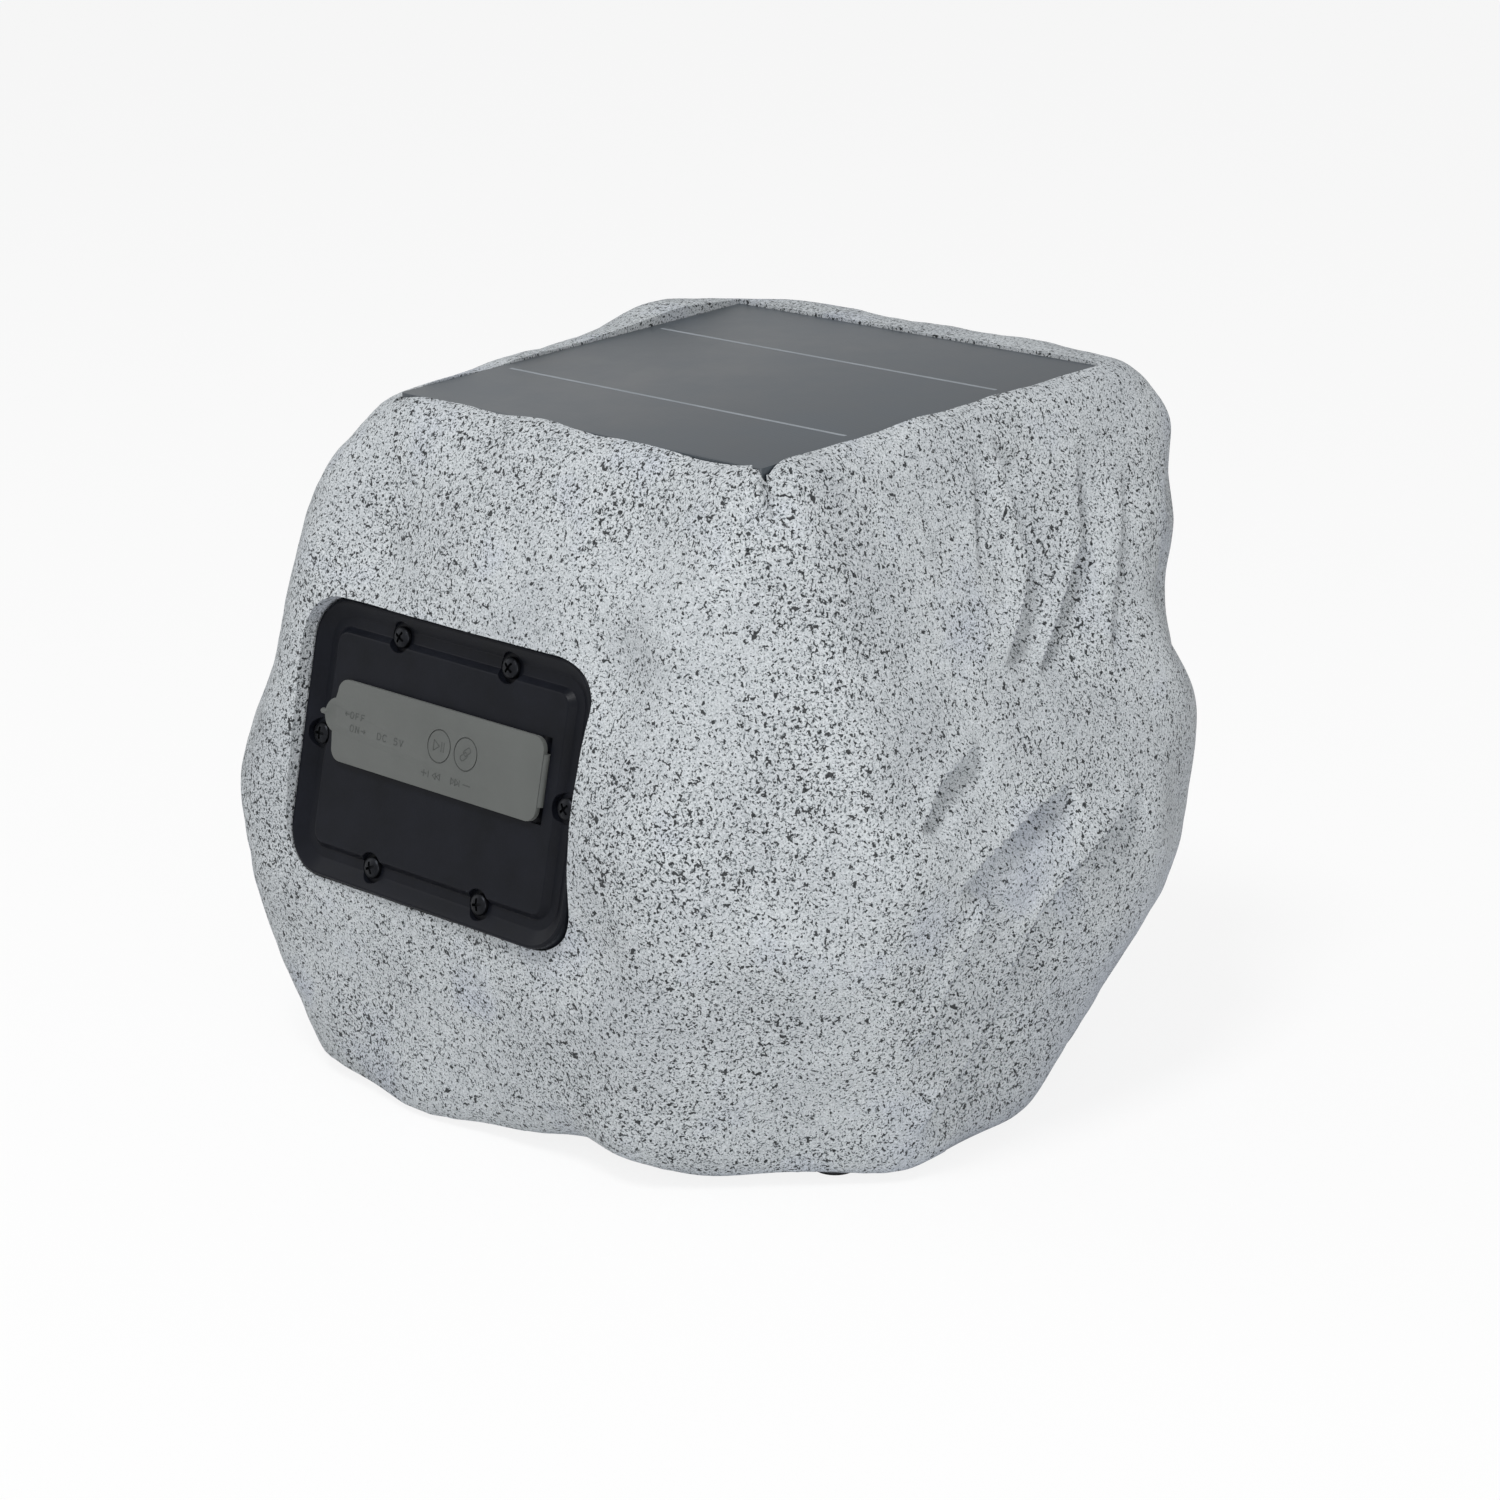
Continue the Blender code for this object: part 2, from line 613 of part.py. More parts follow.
def stepped_plate(name, profile, steps=5):
    """A plate whose edge follows (inset, level) steps from its back to its middle pad."""
    body = bmesh.new()
    previous = None
    for index, (inset, level) in enumerate(profile):
        outline = rounded(PLATE_WIDTH - 2 * inset, PLATE_HEIGHT - 2 * inset,
                          PLATE_CORNER - inset, steps=steps)
        verts = [body.verts.new((x, y, level)) for x, y in outline]
        edges = [body.edges.new((verts[i - 1], verts[i])) for i in range(len(verts))]
        if index in (0, len(profile) - 1):
            body.faces.new(verts)
        if previous:
            bmesh.ops.bridge_loops(body, edges=previous + edges)
        previous = edges
    return from_bmesh(name, body)


def plate_body():
    chamfer_foot = RIM_WIDTH + CHAMFER_WIDTH
    groove_end = chamfer_foot + GROOVE_WIDTH
    return stepped_plate("control_plate", (
        (0.0, -PLATE_THICK), (0.0, PLATE_RIM - RIM_WIDTH / 2), (RIM_WIDTH / 2, PLATE_RIM),
        (RIM_WIDTH, PLATE_RIM), (chamfer_foot, -PLATE_GROOVE), (groove_end, -PLATE_GROOVE),
        (groove_end + STEP_WIDTH, 0.0)))


def plate_screw_seats():
    """Counterbores and clearance holes for the plate's screws."""
    seats = []
    for x, y in plate_screw_places():
        seat = turned("seat", [
            (0.0, OVERSHOOT), (SCREW_SEAT_RADIUS, OVERSHOOT),
            (SCREW_SEAT_RADIUS, -SCREW_SEAT_DEPTH), (SCREW_SHANK + GAP, -SCREW_SEAT_DEPTH),
            (SCREW_SHANK + GAP, -PLATE_THICK - OVERSHOOT), (0.0, -PLATE_THICK - OVERSHOOT)], 12)
        seat.location = (x, y, 0.0)
        seats.append(seat)
    return gathered("plate_screw_seats", seats, CUTTERS)


def port_cutters():
    """Pocket behind the cover and the holes in its floor."""
    row = COVER_RISE + KEYS_RISE
    pocket = slab("port_pocket", [rounded(POCKET_WIDTH, POCKET_HEIGHT, 2 * MM,
                                          (POCKET_SHIFT, COVER_RISE), 3)],
                  -POCKET_DEPTH, OVERSHOOT, CUTTERS)
    low, high = -POCKET_DEPTH - POCKET_WALL - OVERSHOOT / 4, -POCKET_DEPTH + OVERSHOOT / 4
    switch = rounded(SWITCH_LENGTH + 2 * GAP, SWITCH_HEIGHT + 2 * GAP, 0.4 * MM, (SWITCH_AT, row), 1)
    holes = [slab("hole", [outline], low, high) for outline in
             [switch, socket_outline(GAP)] + [circle(BUTTON_RADIUS + GAP, (x, row), 14)
                                              for x in BUTTON_AT]]
    trough = lay(slab("hinge_trough", [circle(BEAD_RADIUS + GAP, sides=14)],
                      -COVER_HEIGHT / 2 - GAP, COVER_HEIGHT / 2 + GAP, CUTTERS), "Y")
    return put_all(PLATE_STATION, pocket, gathered("floor_holes", holes, CUTTERS)) + [
        put(trough, PLATE_STATION, (hinge_at(), COVER_RISE, hinge_level()))]


def control_plate():
    plate = put(plate_body(), PLATE_STATION)
    housing = slab("port_housing", [rounded(
        POCKET_WIDTH + 2 * POCKET_WALL, POCKET_HEIGHT + 2 * POCKET_WALL, 2 * MM + POCKET_WALL,
        (POCKET_SHIFT, COVER_RISE), 3)], -POCKET_DEPTH - POCKET_WALL, -PLATE_THICK / 2, CUTTERS)
    posts = pegs("board_posts", board_holes(), POST_RADIUS, -BOARD_BEHIND + GAP, -PLATE_THICK / 2)
    threads = pegs("board_threads", board_holes(), SCREW_SHANK + GAP,
                   -BOARD_BEHIND - OVERSHOOT, -BOARD_BEHIND + BOARD_BITE + GAP, 8)
    boolean(plate, put_all(PLATE_STATION, housing, posts), "UNION")
    boolean(plate, port_cutters() + put_all(PLATE_STATION, threads, plate_screw_seats()),
            "DIFFERENCE")
    finish(plate, "black_abs")
    gasket = slab("plate_gasket", [
        rounded(PLATE_WIDTH - 2 * FIT, PLATE_HEIGHT - 2 * FIT, PLATE_CORNER - FIT, steps=3),
        plate_window(2)] + [circle(SCREW_SHANK + GAP, place, 8) for place in plate_screw_places()],
                  plate_ledge() + GAP, plate_ledge() + GAP + GASKET_THICK)
    finish(put(gasket, PLATE_STATION), "rubber")
    reach = plate_ledge() + SCREW_SEAT_DEPTH
    screws("plate_screw", plate_screw_places(), GAP - SCREW_SEAT_DEPTH, SCREW_BITE - reach,
           PLATE_STATION, "black_steel")


def screws(name, places, under_head, length, carrier, finish_name, upward=False):
    """Pan head screws with a dimpled head, under_head being the level of the head's underside."""
    for index, (x, y) in enumerate(places):
        screw = turned("%s_%d" % (name, index + 1), [
            (0.0, SCREW_HEAD_HIGH * 0.45), (0.9 * MM, SCREW_HEAD_HIGH),
            (SCREW_HEAD * 0.62, SCREW_HEAD_HIGH), (SCREW_HEAD, SCREW_HEAD_HIGH * 0.4),
            (SCREW_HEAD, 0.0), (SCREW_SHANK, 0.0), (SCREW_SHANK, 1.0 * MM - length),
            (0.0, -length)], SMALL_ROUND)
        if upward:
            screw.rotation_euler = (pi, 0.0, 0.0)
        finish(put(screw, carrier, (x, y, under_head)), finish_name)


# Port cover. Its origin lies on its hinge axis, at its right end.

def hinge_at():
    return COVER_WIDTH / 2 - BEAD_RADIUS


def hinge_level():
    return GAP + COVER_THICK - BEAD_RADIUS


def cover_outline():
    """Rounded rectangle with a half round pull tab, in the cover's own frame."""
    left, right = -COVER_WIDTH / 2 - hinge_at(), BEAD_RADIUS
    top, corner = COVER_HEIGHT / 2, COVER_CORNER
    swing = radians(77.0)
    points = arc((right - corner, corner - top), corner, -pi / 2, 0.0, 3)
    points += arc((right - corner, top - corner), corner, 0.0, pi / 2, 3)
    points += arc((left + corner, top - corner), corner, pi / 2, pi, 3)
    points += arc((left + 0.5 * MM, KEYS_RISE), TAB_RADIUS, pi - swing, pi + swing, 8)
    points += arc((left + corner, corner - top), corner, pi, 1.5 * pi, 3)
    return points


def port_cover():
    low, high = GAP - hinge_level(), GAP + COVER_THICK - hinge_level()
    left = -COVER_WIDTH / 2 - hinge_at() - TAB_RADIUS
    top = COVER_HEIGHT / 2
    cover = slab("port_cover", [[(0.0, -top), (0.0, top), (left, top), (left, -top)]], low, high)
    bead = lay(slab("cover_bead", [circle(BEAD_RADIUS, sides=14)], -top, top, CUTTERS), "Y")
    outline = slab("cover_outline", [cover_outline()], low - OVERSHOOT, high + OVERSHOOT, CUTTERS)
    middle = (POCKET_SHIFT - hinge_at(), 0.0)
    width, height = POCKET_WIDTH - 2 * FIT, POCKET_HEIGHT - 2 * FIT
    seal = slab("cover_seal", [
        rounded(width, height, 1.8 * MM, middle, 3),
        rounded(width - 2 * SEAL_WIDTH, height - 2 * SEAL_WIDTH, 0.6 * MM, middle, 2)],
                low - SEAL_DEPTH, low + COVER_THICK / 2, CUTTERS)
    keys = pegs("cover_keys", [(x - hinge_at(), KEYS_RISE) for x in BUTTON_AT], KEY_RADIUS,
                high - COVER_THICK / 2, high + KEY_RISE, 20)
    nub = lay(slab("cover_nub", [circle(NUB_RADIUS, sides=8)], -NUB_LENGTH / 2, NUB_LENGTH / 2,
                   CUTTERS), "X")
    nub.data.transform(Matrix.Translation((left - 0.3 * MM, KEYS_RISE, (low + high) / 2)))
    hinge = Vector((hinge_at(), COVER_RISE, hinge_level()))
    for item in (cover, bead, outline, seal, keys, nub):
        put(item, PLATE_STATION, hinge)
    boolean(cover, [bead], "UNION")
    boolean(cover, [outline], "INTERSECT")
    boolean(cover, [seal, keys, nub], "UNION")
    finish(cover, "grey_silicone")


# Circuit board with its switch, socket and buttons

def board_holes():
    x, y = BOARD_WIDTH / 2 - BOARD_HOLE_INSET, BOARD_HEIGHT / 2 - BOARD_HOLE_INSET
    return [(sx * x, sy * y) for sx in (-1, 1) for sy in (-1, 1)]


def socket_outline(grow):
    height = SOCKET_HEIGHT + 2 * grow
    return rounded(SOCKET_WIDTH + 2 * grow, height, height / 2 - 0.05 * MM,
                   (SOCKET_AT, COVER_RISE + KEYS_RISE), 3)


def circuit_board():
    board = slab("circuit_board", [rounded(BOARD_WIDTH, BOARD_HEIGHT, 2 * MM, steps=2)] + [
        circle(SCREW_SHANK + GAP, place, 8) for place in board_holes()],
                 -BOARD_BEHIND - BOARD_THICK, -BOARD_BEHIND)
    finish(put(board, PLATE_STATION), "green_laminate")
    screws("board_screw", board_holes(), -BOARD_BEHIND - BOARD_THICK - GAP,
           BOARD_THICK + BOARD_BITE, PLATE_STATION, "zinc_steel", upward=True)
    power_switch()
    charge_socket()
    push_buttons()


def power_switch():
    row, deck = COVER_RISE + KEYS_RISE, PORTS_RISE - POCKET_DEPTH
    body = slab("switch_body", [rounded(SWITCH_LENGTH, SWITCH_HEIGHT, 0.3 * MM, (SWITCH_AT, row), 1)],
                GAP - BOARD_BEHIND, deck)
    slot = slab("switch_slot", [rounded(KNOB_LENGTH + KNOB_TRAVEL + 2 * GAP, KNOB_HEIGHT + 2 * GAP,
                                        0.2 * MM, (SWITCH_AT, row), 1)],
                deck - SWITCH_SLOT, deck + OVERSHOOT, CUTTERS)
    put_all(PLATE_STATION, body, slot)
    finish(boolean(body, [slot], "DIFFERENCE"), "zinc_steel")
    knob = slab("switch_knob", [rounded(KNOB_LENGTH, KNOB_HEIGHT, 0.2 * MM, steps=1)],
                0.0, KNOB_TALL)
    put(knob, PLATE_STATION, (SWITCH_AT - KNOB_TRAVEL / 2, row, deck - SWITCH_SLOT + GAP))
    finish(knob, "white_nylon")


def charge_socket():
    """Metal shell round a tongue, open at the front."""
    row, deck = COVER_RISE + KEYS_RISE, PORTS_RISE - POCKET_DEPTH
    socket = slab("charge_socket", [socket_outline(0.0)], GAP - BOARD_BEHIND, deck)
    mouth = slab("socket_mouth", [
        socket_outline(-SOCKET_WALL), rounded(SOCKET_WIDTH * 0.66, 0.8 * MM, 0.1 * MM,
                                              (SOCKET_AT, row), 1)],
                 GAP - BOARD_BEHIND + SOCKET_FLOOR, deck + OVERSHOOT, CUTTERS)
    put_all(PLATE_STATION, socket, mouth)
    finish(boolean(socket, [mouth], "DIFFERENCE"), "zinc_steel")


def push_buttons():
    """A cap under each key of the cover, over a small push switch on the board."""
    row = COVER_RISE + KEYS_RISE
    low, high = -POCKET_DEPTH - POCKET_WALL + GAP, -2 * GAP
    for name, x in zip(("left", "right"), BUTTON_AT):
        cap = slab(name + "_button", [circle(BUTTON_RADIUS, sides=14)], low - high, 0.0)
        bevelled(cap, 0.3 * MM)
        finish(put(cap, PLATE_STATION, (x, row, high)), "white_nylon")
        tact = slab(name + "_push_switch", [rounded(TACT_SIZE, TACT_SIZE, 0.4 * MM, (x, row), 1)],
                    GAP - BOARD_BEHIND, low - BUTTON_TRAVEL - GAP)
        finish(put(tact, PLATE_STATION), "zinc_steel")


# Loudspeaker. Levels are measured outwards from the boulder's facet.

def driver_screw_places():
    return [(DRIVER_SCREW_RING * cos(pi / 4 + i * pi / 2),
             DRIVER_SCREW_RING * sin(pi / 4 + i * pi / 2)) for i in range(4)]


def speaker_cutters():
    mouth = slab("grille_pocket", [circle(GRILLE_RADIUS + FIT, sides=40)], -GRILLE_SUNK, REACH_OUT,
                 CUTTERS)
    seat = slab("driver_pocket", [circle(DRIVER_RADIUS + FIT, sides=32)], -DRIVER_SEAT,
                OVERSHOOT / 3 - GRILLE_SUNK, CUTTERS)
    baffle = slab("baffle_hole", [circle(BASKET_MOUTH + FIT, sides=32)],
                  -DRIVER_SEAT - LEDGE_THICK - 2 * OVERSHOOT, OVERSHOOT / 3 - DRIVER_SEAT, CUTTERS)
    holes = pegs("driver_screw_holes", driver_screw_places(), SCREW_SHANK + GAP,
                 -DRIVER_SEAT - SCREW_BITE - GAP, OVERSHOOT / 3 - DRIVER_SEAT, 8)
    return put_all(SPEAKER_STATION, mouth, seat, baffle, holes)


def grille_places():
    """Hole centres in a hexagonal pattern, kept inside the trim ring."""
    free = GRILLE_RADIUS - RING_WIDTH - GRILLE_HOLE - 0.8 * MM
    step = GRILLE_PITCH * sqrt(3) / 2
    rows = ceil(free / step)
    places = []
    for row in range(-rows, rows + 1):
        for column in range(-rows, rows + 1):
            x, y = (column + 0.5 * (row % 2)) * GRILLE_PITCH, row * step
            if x * x + y * y <= free * free:
                places.append((x, y))
    return places


def grille():
    low = GAP - GRILLE_SUNK
    high = low + GRILLE_THICK
    sheet = slab("grille", [circle(GRILLE_RADIUS, sides=32)] + [
        circle(GRILLE_HOLE, place, 6) for place in grille_places()], low, high)
    finish(put(sheet, SPEAKER_STATION), "black_steel")
    ring_low = high + GAP
    ring_high = ring_low + RING_HEIGHT
    inner = GRILLE_RADIUS - RING_WIDTH
    ring = turned("grille_ring", [
        (inner, ring_high - 1.2 * MM), (inner + 1.2 * MM, ring_high),
        (GRILLE_RADIUS - 1.0 * MM, ring_high), (GRILLE_RADIUS, ring_high - 1.0 * MM),
        (GRILLE_RADIUS, ring_low), (inner, ring_low)], 32)
    finish(put(ring, SPEAKER_STATION), "black_abs")


def frame_levels():
    """Underside of the frame, its front and the back of the basket."""
    under = -DRIVER_SEAT + GASKET_THICK + 2 * GAP
    front = under + FRAME_THICK
    return under, front, front - BASKET_DEPTH


def drilled(thing, low, high):
    holes = pegs(thing.name + "_holes", driver_screw_places(), SCREW_SHANK + GAP, low, high, 8)
    return boolean(thing, [put(holes, SPEAKER_STATION)], "DIFFERENCE")


def driver():
    under, front, back = frame_levels()
    low = GAP - DRIVER_SEAT
    outer, inner = DRIVER_RADIUS - FIT, BASKET_MOUTH + FIT
    gasket = turned("driver_gasket", [
        (outer, low + GASKET_THICK), (outer, low), (inner, low), (inner, low + GASKET_THICK)], 20)
    put(gasket, SPEAKER_STATION)
    finish(drilled(gasket, low - OVERSHOOT, front), "rubber")
    basket(under, front, back)
    screws("driver_screw", driver_screw_places(), front + GAP, front + DRIVER_SEAT + SCREW_BITE,
           SPEAKER_STATION, "black_steel")
    motor(back)
    moving_parts(front, back)


def basket(under, front, back):
    """Pressed frame: flange, tapering wall, shelf for the spider and a cup that holds the magnet."""
    shelf = back + SPIDER_SHELF
    waist = BASKET_MOUTH - 1.5 * MM
    hub = COIL_RADIUS + 3.0 * MM
    frame = turned("driver_basket", [
        (FRAME_LIP, front), (DRIVER_RADIUS, front), (DRIVER_RADIUS, under), (BASKET_MOUTH, under),
        (waist, under - 5 * MM), (BASKET_CUP + SHELF_WIDTH, shelf - SHEET),
        (BASKET_CUP, shelf - SHEET), (BASKET_CUP, back), (hub, back), (hub, back + SHEET),
        (BASKET_CUP - SHEET, back + SHEET), (BASKET_CUP - SHEET, shelf),
        (BASKET_CUP + SHELF_WIDTH - SHEET, shelf), (waist - SHEET, under - 4.4 * MM),
        (FRAME_LIP, under)], 20)
    sector = arc((0.0, 0.0), 60 * MM, -radians(32), radians(32), 6) + arc(
        (0.0, 0.0), 16 * MM, radians(20), -radians(20), 1)
    windows = []
    for quarter in range(4):
        window = slab("window", [sector], shelf + 2.0 * MM, under - 6.5 * MM)
        window.rotation_euler = (0.0, 0.0, quarter * pi / 2)
        windows.append(window)
    put(frame, SPEAKER_STATION)
    boolean(frame, [put(gathered("basket_windows", windows, CUTTERS), SPEAKER_STATION)],
            "DIFFERENCE")
    finish(drilled(frame, under - OVERSHOOT, front + OVERSHOOT), "black_steel")


def motor(back):
    """Iron top plate, ferrite ring and yoke with its pole, stacked behind the basket."""
    pole = COIL_RADIUS - COIL_AIR
    bore = COIL_RADIUS + COIL_WALL + COIL_AIR
    iron = MAGNET_RADIUS - IRON_INSET
    top = back - GAP
    plate = turned("driver_top_plate", [
        (iron, top), (iron, top - IRON_THICK), (bore, top - IRON_THICK), (bore, top)])
    finish(put(plate, SPEAKER_STATION), "zinc_steel")
    ring_top = top - IRON_THICK - GAP
    ring_low = ring_top - MAGNET_THICK
    magnet = turned("driver_magnet", [
        (MAGNET_RADIUS, ring_top), (MAGNET_RADIUS, ring_low), (bore + 3 * MM, ring_low),
        (bore + 3 * MM, ring_top)])
    finish(put(magnet, SPEAKER_STATION), "ferrite")
    yoke_top = ring_low - GAP
    yoke = turned("driver_yoke", [
        (0.0, top), (pole, top), (pole, yoke_top), (iron, yoke_top), (iron, yoke_top - IRON_THICK),
        (0.0, yoke_top - IRON_THICK)])
    finish(put(yoke, SPEAKER_STATION), "zinc_steel")


def surround(rim):
    """Half round rubber roll with a flat lip that lies on the frame."""
    inner, outer = CONE_RADIUS + GAP, CONE_RADIUS + GAP + ROLL_WIDTH
    middle, big = (inner + outer) / 2, ROLL_WIDTH / 2
    crown, sides = rim + ROLL_WALL, 5
    over = arc((middle, crown), big, pi, 0.0, sides)
    under = arc((middle, crown), big - ROLL_WALL, 0.0, pi, sides)
    lip = [(outer + ROLL_LIP, crown), (outer + ROLL_LIP, rim), (outer - ROLL_WALL, rim)]
    roll = turned("driver_surround", over + lip + under + [(inner + ROLL_WALL, rim), (inner, rim)], 20)
    finish(put(roll, SPEAKER_STATION), "rubber")


def spider(shelf):
    """Rippled cloth disc that centres the coil."""
    inner = COIL_RADIUS + COIL_WALL + GAP
    outer = BASKET_CUP + SHELF_WIDTH - SHEET - GAP
    thick = ROLL_WALL
    low = shelf + GAP
    upper = [(inner + (outer - inner) * i / RIPPLE_COUNT, low + thick + RIPPLE * (i % 2))
             for i in range(RIPPLE_COUNT + 1)]
    lower = [(r, z - thick) for r, z in reversed(upper)]
    finish(put(turned("driver_spider", upper + lower), SPEAKER_STATION), "treated_cloth")


def moving_parts(front, back):
    """Cone, cap and coil share one axis and slide along it; roll and spider centre them."""
    rim = front + GAP
    neck = rim - CONE_DEPTH
    former = COIL_RADIUS + COIL_WALL
    hole = former + GAP
    slope = CONE_DEPTH / (CONE_RADIUS - hole)
    cone = turned("driver_cone", [
        (CONE_RADIUS - 1.2 * MM, rim + CONE_WALL), (CONE_RADIUS, rim + CONE_WALL),
        (CONE_RADIUS, rim), (hole, neck), (hole, neck + CONE_WALL)], 20)
    finish(put(cone, SPEAKER_STATION), "pulp_paper")
    coil = turned("voice_coil", [
        (former, neck + 1.5 * MM), (former, neck - COIL_LENGTH), (COIL_RADIUS, neck - COIL_LENGTH),
        (COIL_RADIUS, neck + 1.5 * MM)])
    finish(put(coil, SPEAKER_STATION), "copper")
    brim = former + CAP_BRIM
    low = neck + CONE_WALL + slope * (brim - hole) + 1.4 * GAP
    outside = [(brim * sin(pi / 8 * i), low + CONE_WALL + CAP_HEIGHT * cos(pi / 8 * i))
               for i in range(5)]
    inside = [((brim - CONE_WALL) * sin(pi / 8 * i), low + CAP_HEIGHT * cos(pi / 8 * i))
              for i in range(4, -1, -1)]
    finish(put(turned("dust_cap", outside + inside), SPEAKER_STATION), "pulp_paper")
    surround(rim)
    spider(back + SPIDER_SHELF)


# Base plate, feet and battery. Levels are heights above the floor.

def base_level():
    return ROCK_LIFT + GAP


def rebate_level():
    return base_level() + BASE_THICK + GAP


def base_screw_places():
    x, y = BASE_WIDTH / 2 - BASE_LEDGE / 2, BASE_DEPTH / 2 - BASE_LEDGE / 2
    sides = [(sx * x, sy * y * 0.62) for sx in (-1, 1) for sy in (-1, 1)]
    return sides + [(0.0, y), (0.0, -y)]


def foot_places():
    return [(side * FOOT_X, y) for y in FOOT_Y for side in (-1, 1)]


def base_cutters():
    rebate = slab("base_rebate", [rounded(BASE_WIDTH + 2 * FIT, BASE_DEPTH + 2 * FIT,
                                          BASE_CORNER + FIT, steps=3)],
                  -OVERSHOOT, rebate_level(), CUTTERS)
    opening = slab("base_opening", [rounded(BASE_WIDTH - 2 * BASE_LEDGE,
                                            BASE_DEPTH - 2 * BASE_LEDGE, BASE_CORNER / 2, steps=3)],
                   rebate_level() - OVERSHOOT / 4, UNDER_WALL + 2 * OVERSHOOT, CUTTERS)
    holes = pegs("base_screw_holes", base_screw_places(), SCREW_SHANK + GAP,
                 rebate_level() - OVERSHOOT / 4, rebate_level() + SCREW_BITE + GAP, 8)
    seats = []
    floor = ROCK_LIFT + FOOT_RECESS
    for x, y in foot_places():
        seat = turned("foot_seat", [
            (0.0, floor + PEG_LENGTH + GAP), (PEG_RADIUS + GAP, floor + PEG_LENGTH + GAP),
            (PEG_RADIUS + GAP, floor), (FOOT_RADIUS + GAP, floor), (FOOT_RADIUS + GAP, -OVERSHOOT),
            (0.0, -OVERSHOOT)], 14)
        seat.location = (x, y, 0.0)
        seats.append(seat)
    return put_all(ORIGIN, rebate, opening, holes, gathered("foot_seats", seats, CUTTERS))


def base():
    low = base_level()
    seat_level = low + SCREW_HEAD_HIGH
    plate = slab("base_plate", [rounded(BASE_WIDTH, BASE_DEPTH, BASE_CORNER, steps=3)],
                 low, low + BASE_THICK)
    seats = []
    for x, y in base_screw_places():
        seat = turned("seat", [
            (0.0, low + OVERSHOOT), (SCREW_SHANK + GAP, low + OVERSHOOT),
            (SCREW_SHANK + GAP, seat_level), (SCREW_HEAD + GAP, seat_level),
            (SCREW_HEAD + GAP, -OVERSHOOT), (0.0, -OVERSHOOT)], SMALL_ROUND)
        seat.location = (x, y, 0.0)
        seats.append(seat)
    put_all(ORIGIN, plate)
    boolean(plate, put_all(ORIGIN, gathered("base_screw_seats", seats, CUTTERS)), "DIFFERENCE")
    finish(plate, "black_abs")
    screws("base_screw", base_screw_places(), seat_level - GAP,
           rebate_level() - seat_level + SCREW_BITE, ORIGIN, "black_steel", upward=True)
    feet()
    battery(rebate_level())


def feet():
    floor = ROCK_LIFT + FOOT_RECESS
    for index, (x, y) in enumerate(foot_places()):
        foot = turned("foot_%d" % (index + 1), [
            (0.0, floor + PEG_LENGTH), (PEG_RADIUS, floor + PEG_LENGTH), (PEG_RADIUS, floor - GAP),
            (FOOT_RADIUS, floor - GAP), (FOOT_RADIUS, FOOT_EDGE), (FOOT_RADIUS - FOOT_EDGE, 0.0),
            (0.0, 0.0)], 14)
        finish(put(foot, ORIGIN, (x, y, 0.0)), "rubber")


def battery(floor):
    """Cells side by side in a tray that stands on the base plate."""
    bore = CELL_RADIUS + GAP
    pitch = 2 * bore + TRAY_RIB
    width = CELL_COUNT * pitch - TRAY_RIB + 2 * TRAY_WALL
    length = CELL_LENGTH + 2 * GAP + 2 * TRAY_WALL
    axis = floor + TRAY_WALL + bore
    places = [(i - (CELL_COUNT - 1) / 2) * pitch for i in range(CELL_COUNT)]
    tray = slab("battery_tray", [rounded(length, width, 2 * MM, steps=2)], floor,
                axis + CELL_RADIUS * 0.25)
    beds = []
    for index, y in enumerate(places):
        half = length / 2 - TRAY_WALL
        bed = lay(slab("bed", [circle(bore, sides=16)], -half, half), "X")
        bed.location = (0.0, y, axis)
        beds.append(bed)
        cell = lay(slab("battery_cell_%d" % (index + 1), [circle(CELL_RADIUS, sides=16)],
                        -CELL_LENGTH / 2, CELL_LENGTH / 2), "X")
        finish(put(cell, ORIGIN, (0.0, y, axis)), "cell_wrap")
    put_all(ORIGIN, tray)
    boolean(tray, put_all(ORIGIN, gathered("cell_beds", beds, CUTTERS)), "DIFFERENCE")
    finish(tray, "black_abs")


clear_scene()
PARTS = new_collection("rock_speaker")
CUTTERS = new_collection("cutters")
ORIGIN = station("rock_origin", ORIGIN_SHIFT, Vector((1, 0, 0)), Vector((0, 0, 1)))
PANEL_STATION = station("panel_station", Vector((0.0, 0.0, PANEL_TOP)), Vector((1, 0, 0)),
                        Vector((0.0, sin(PANEL_TILT), cos(PANEL_TILT))))
PLATE_STATION = station("plate_station", PLATE_MIDDLE, Vector((-1, 0, 0)),
                        Vector((0.0, cos(PLATE_LEAN), sin(PLATE_LEAN))))
SPEAKER_STATION = station("speaker_station", SPEAKER_FACE, Vector((1, 0, 0)),
                          Vector((0.0, -cos(SPEAKER_LEAN), sin(SPEAKER_LEAN))))
for place_on_rock in (PANEL_STATION, PLATE_STATION, SPEAKER_STATION):
    place_on_rock.parent = ORIGIN
rock_shell()
solar_panel()
control_plate()
port_cover()
circuit_board()
grille()
driver()
base()
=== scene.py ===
"""Looks of the garden speaker in the shape of a chiselled boulder.

The CAD model is the frame: it gives every piece its place. Here the boulder gets its fine surface
and its sprayed fleck paint, the plate its stepped border and screws, the port cover its marks, the
grille its small holes, and every piece a material of its own. Lengths are in metres, +Z is up.
"""
from math import asin, cos, pi, radians, sin, sqrt, tan

import bmesh
import bpy
import numpy as np
from mathutils import Matrix, Vector, noise


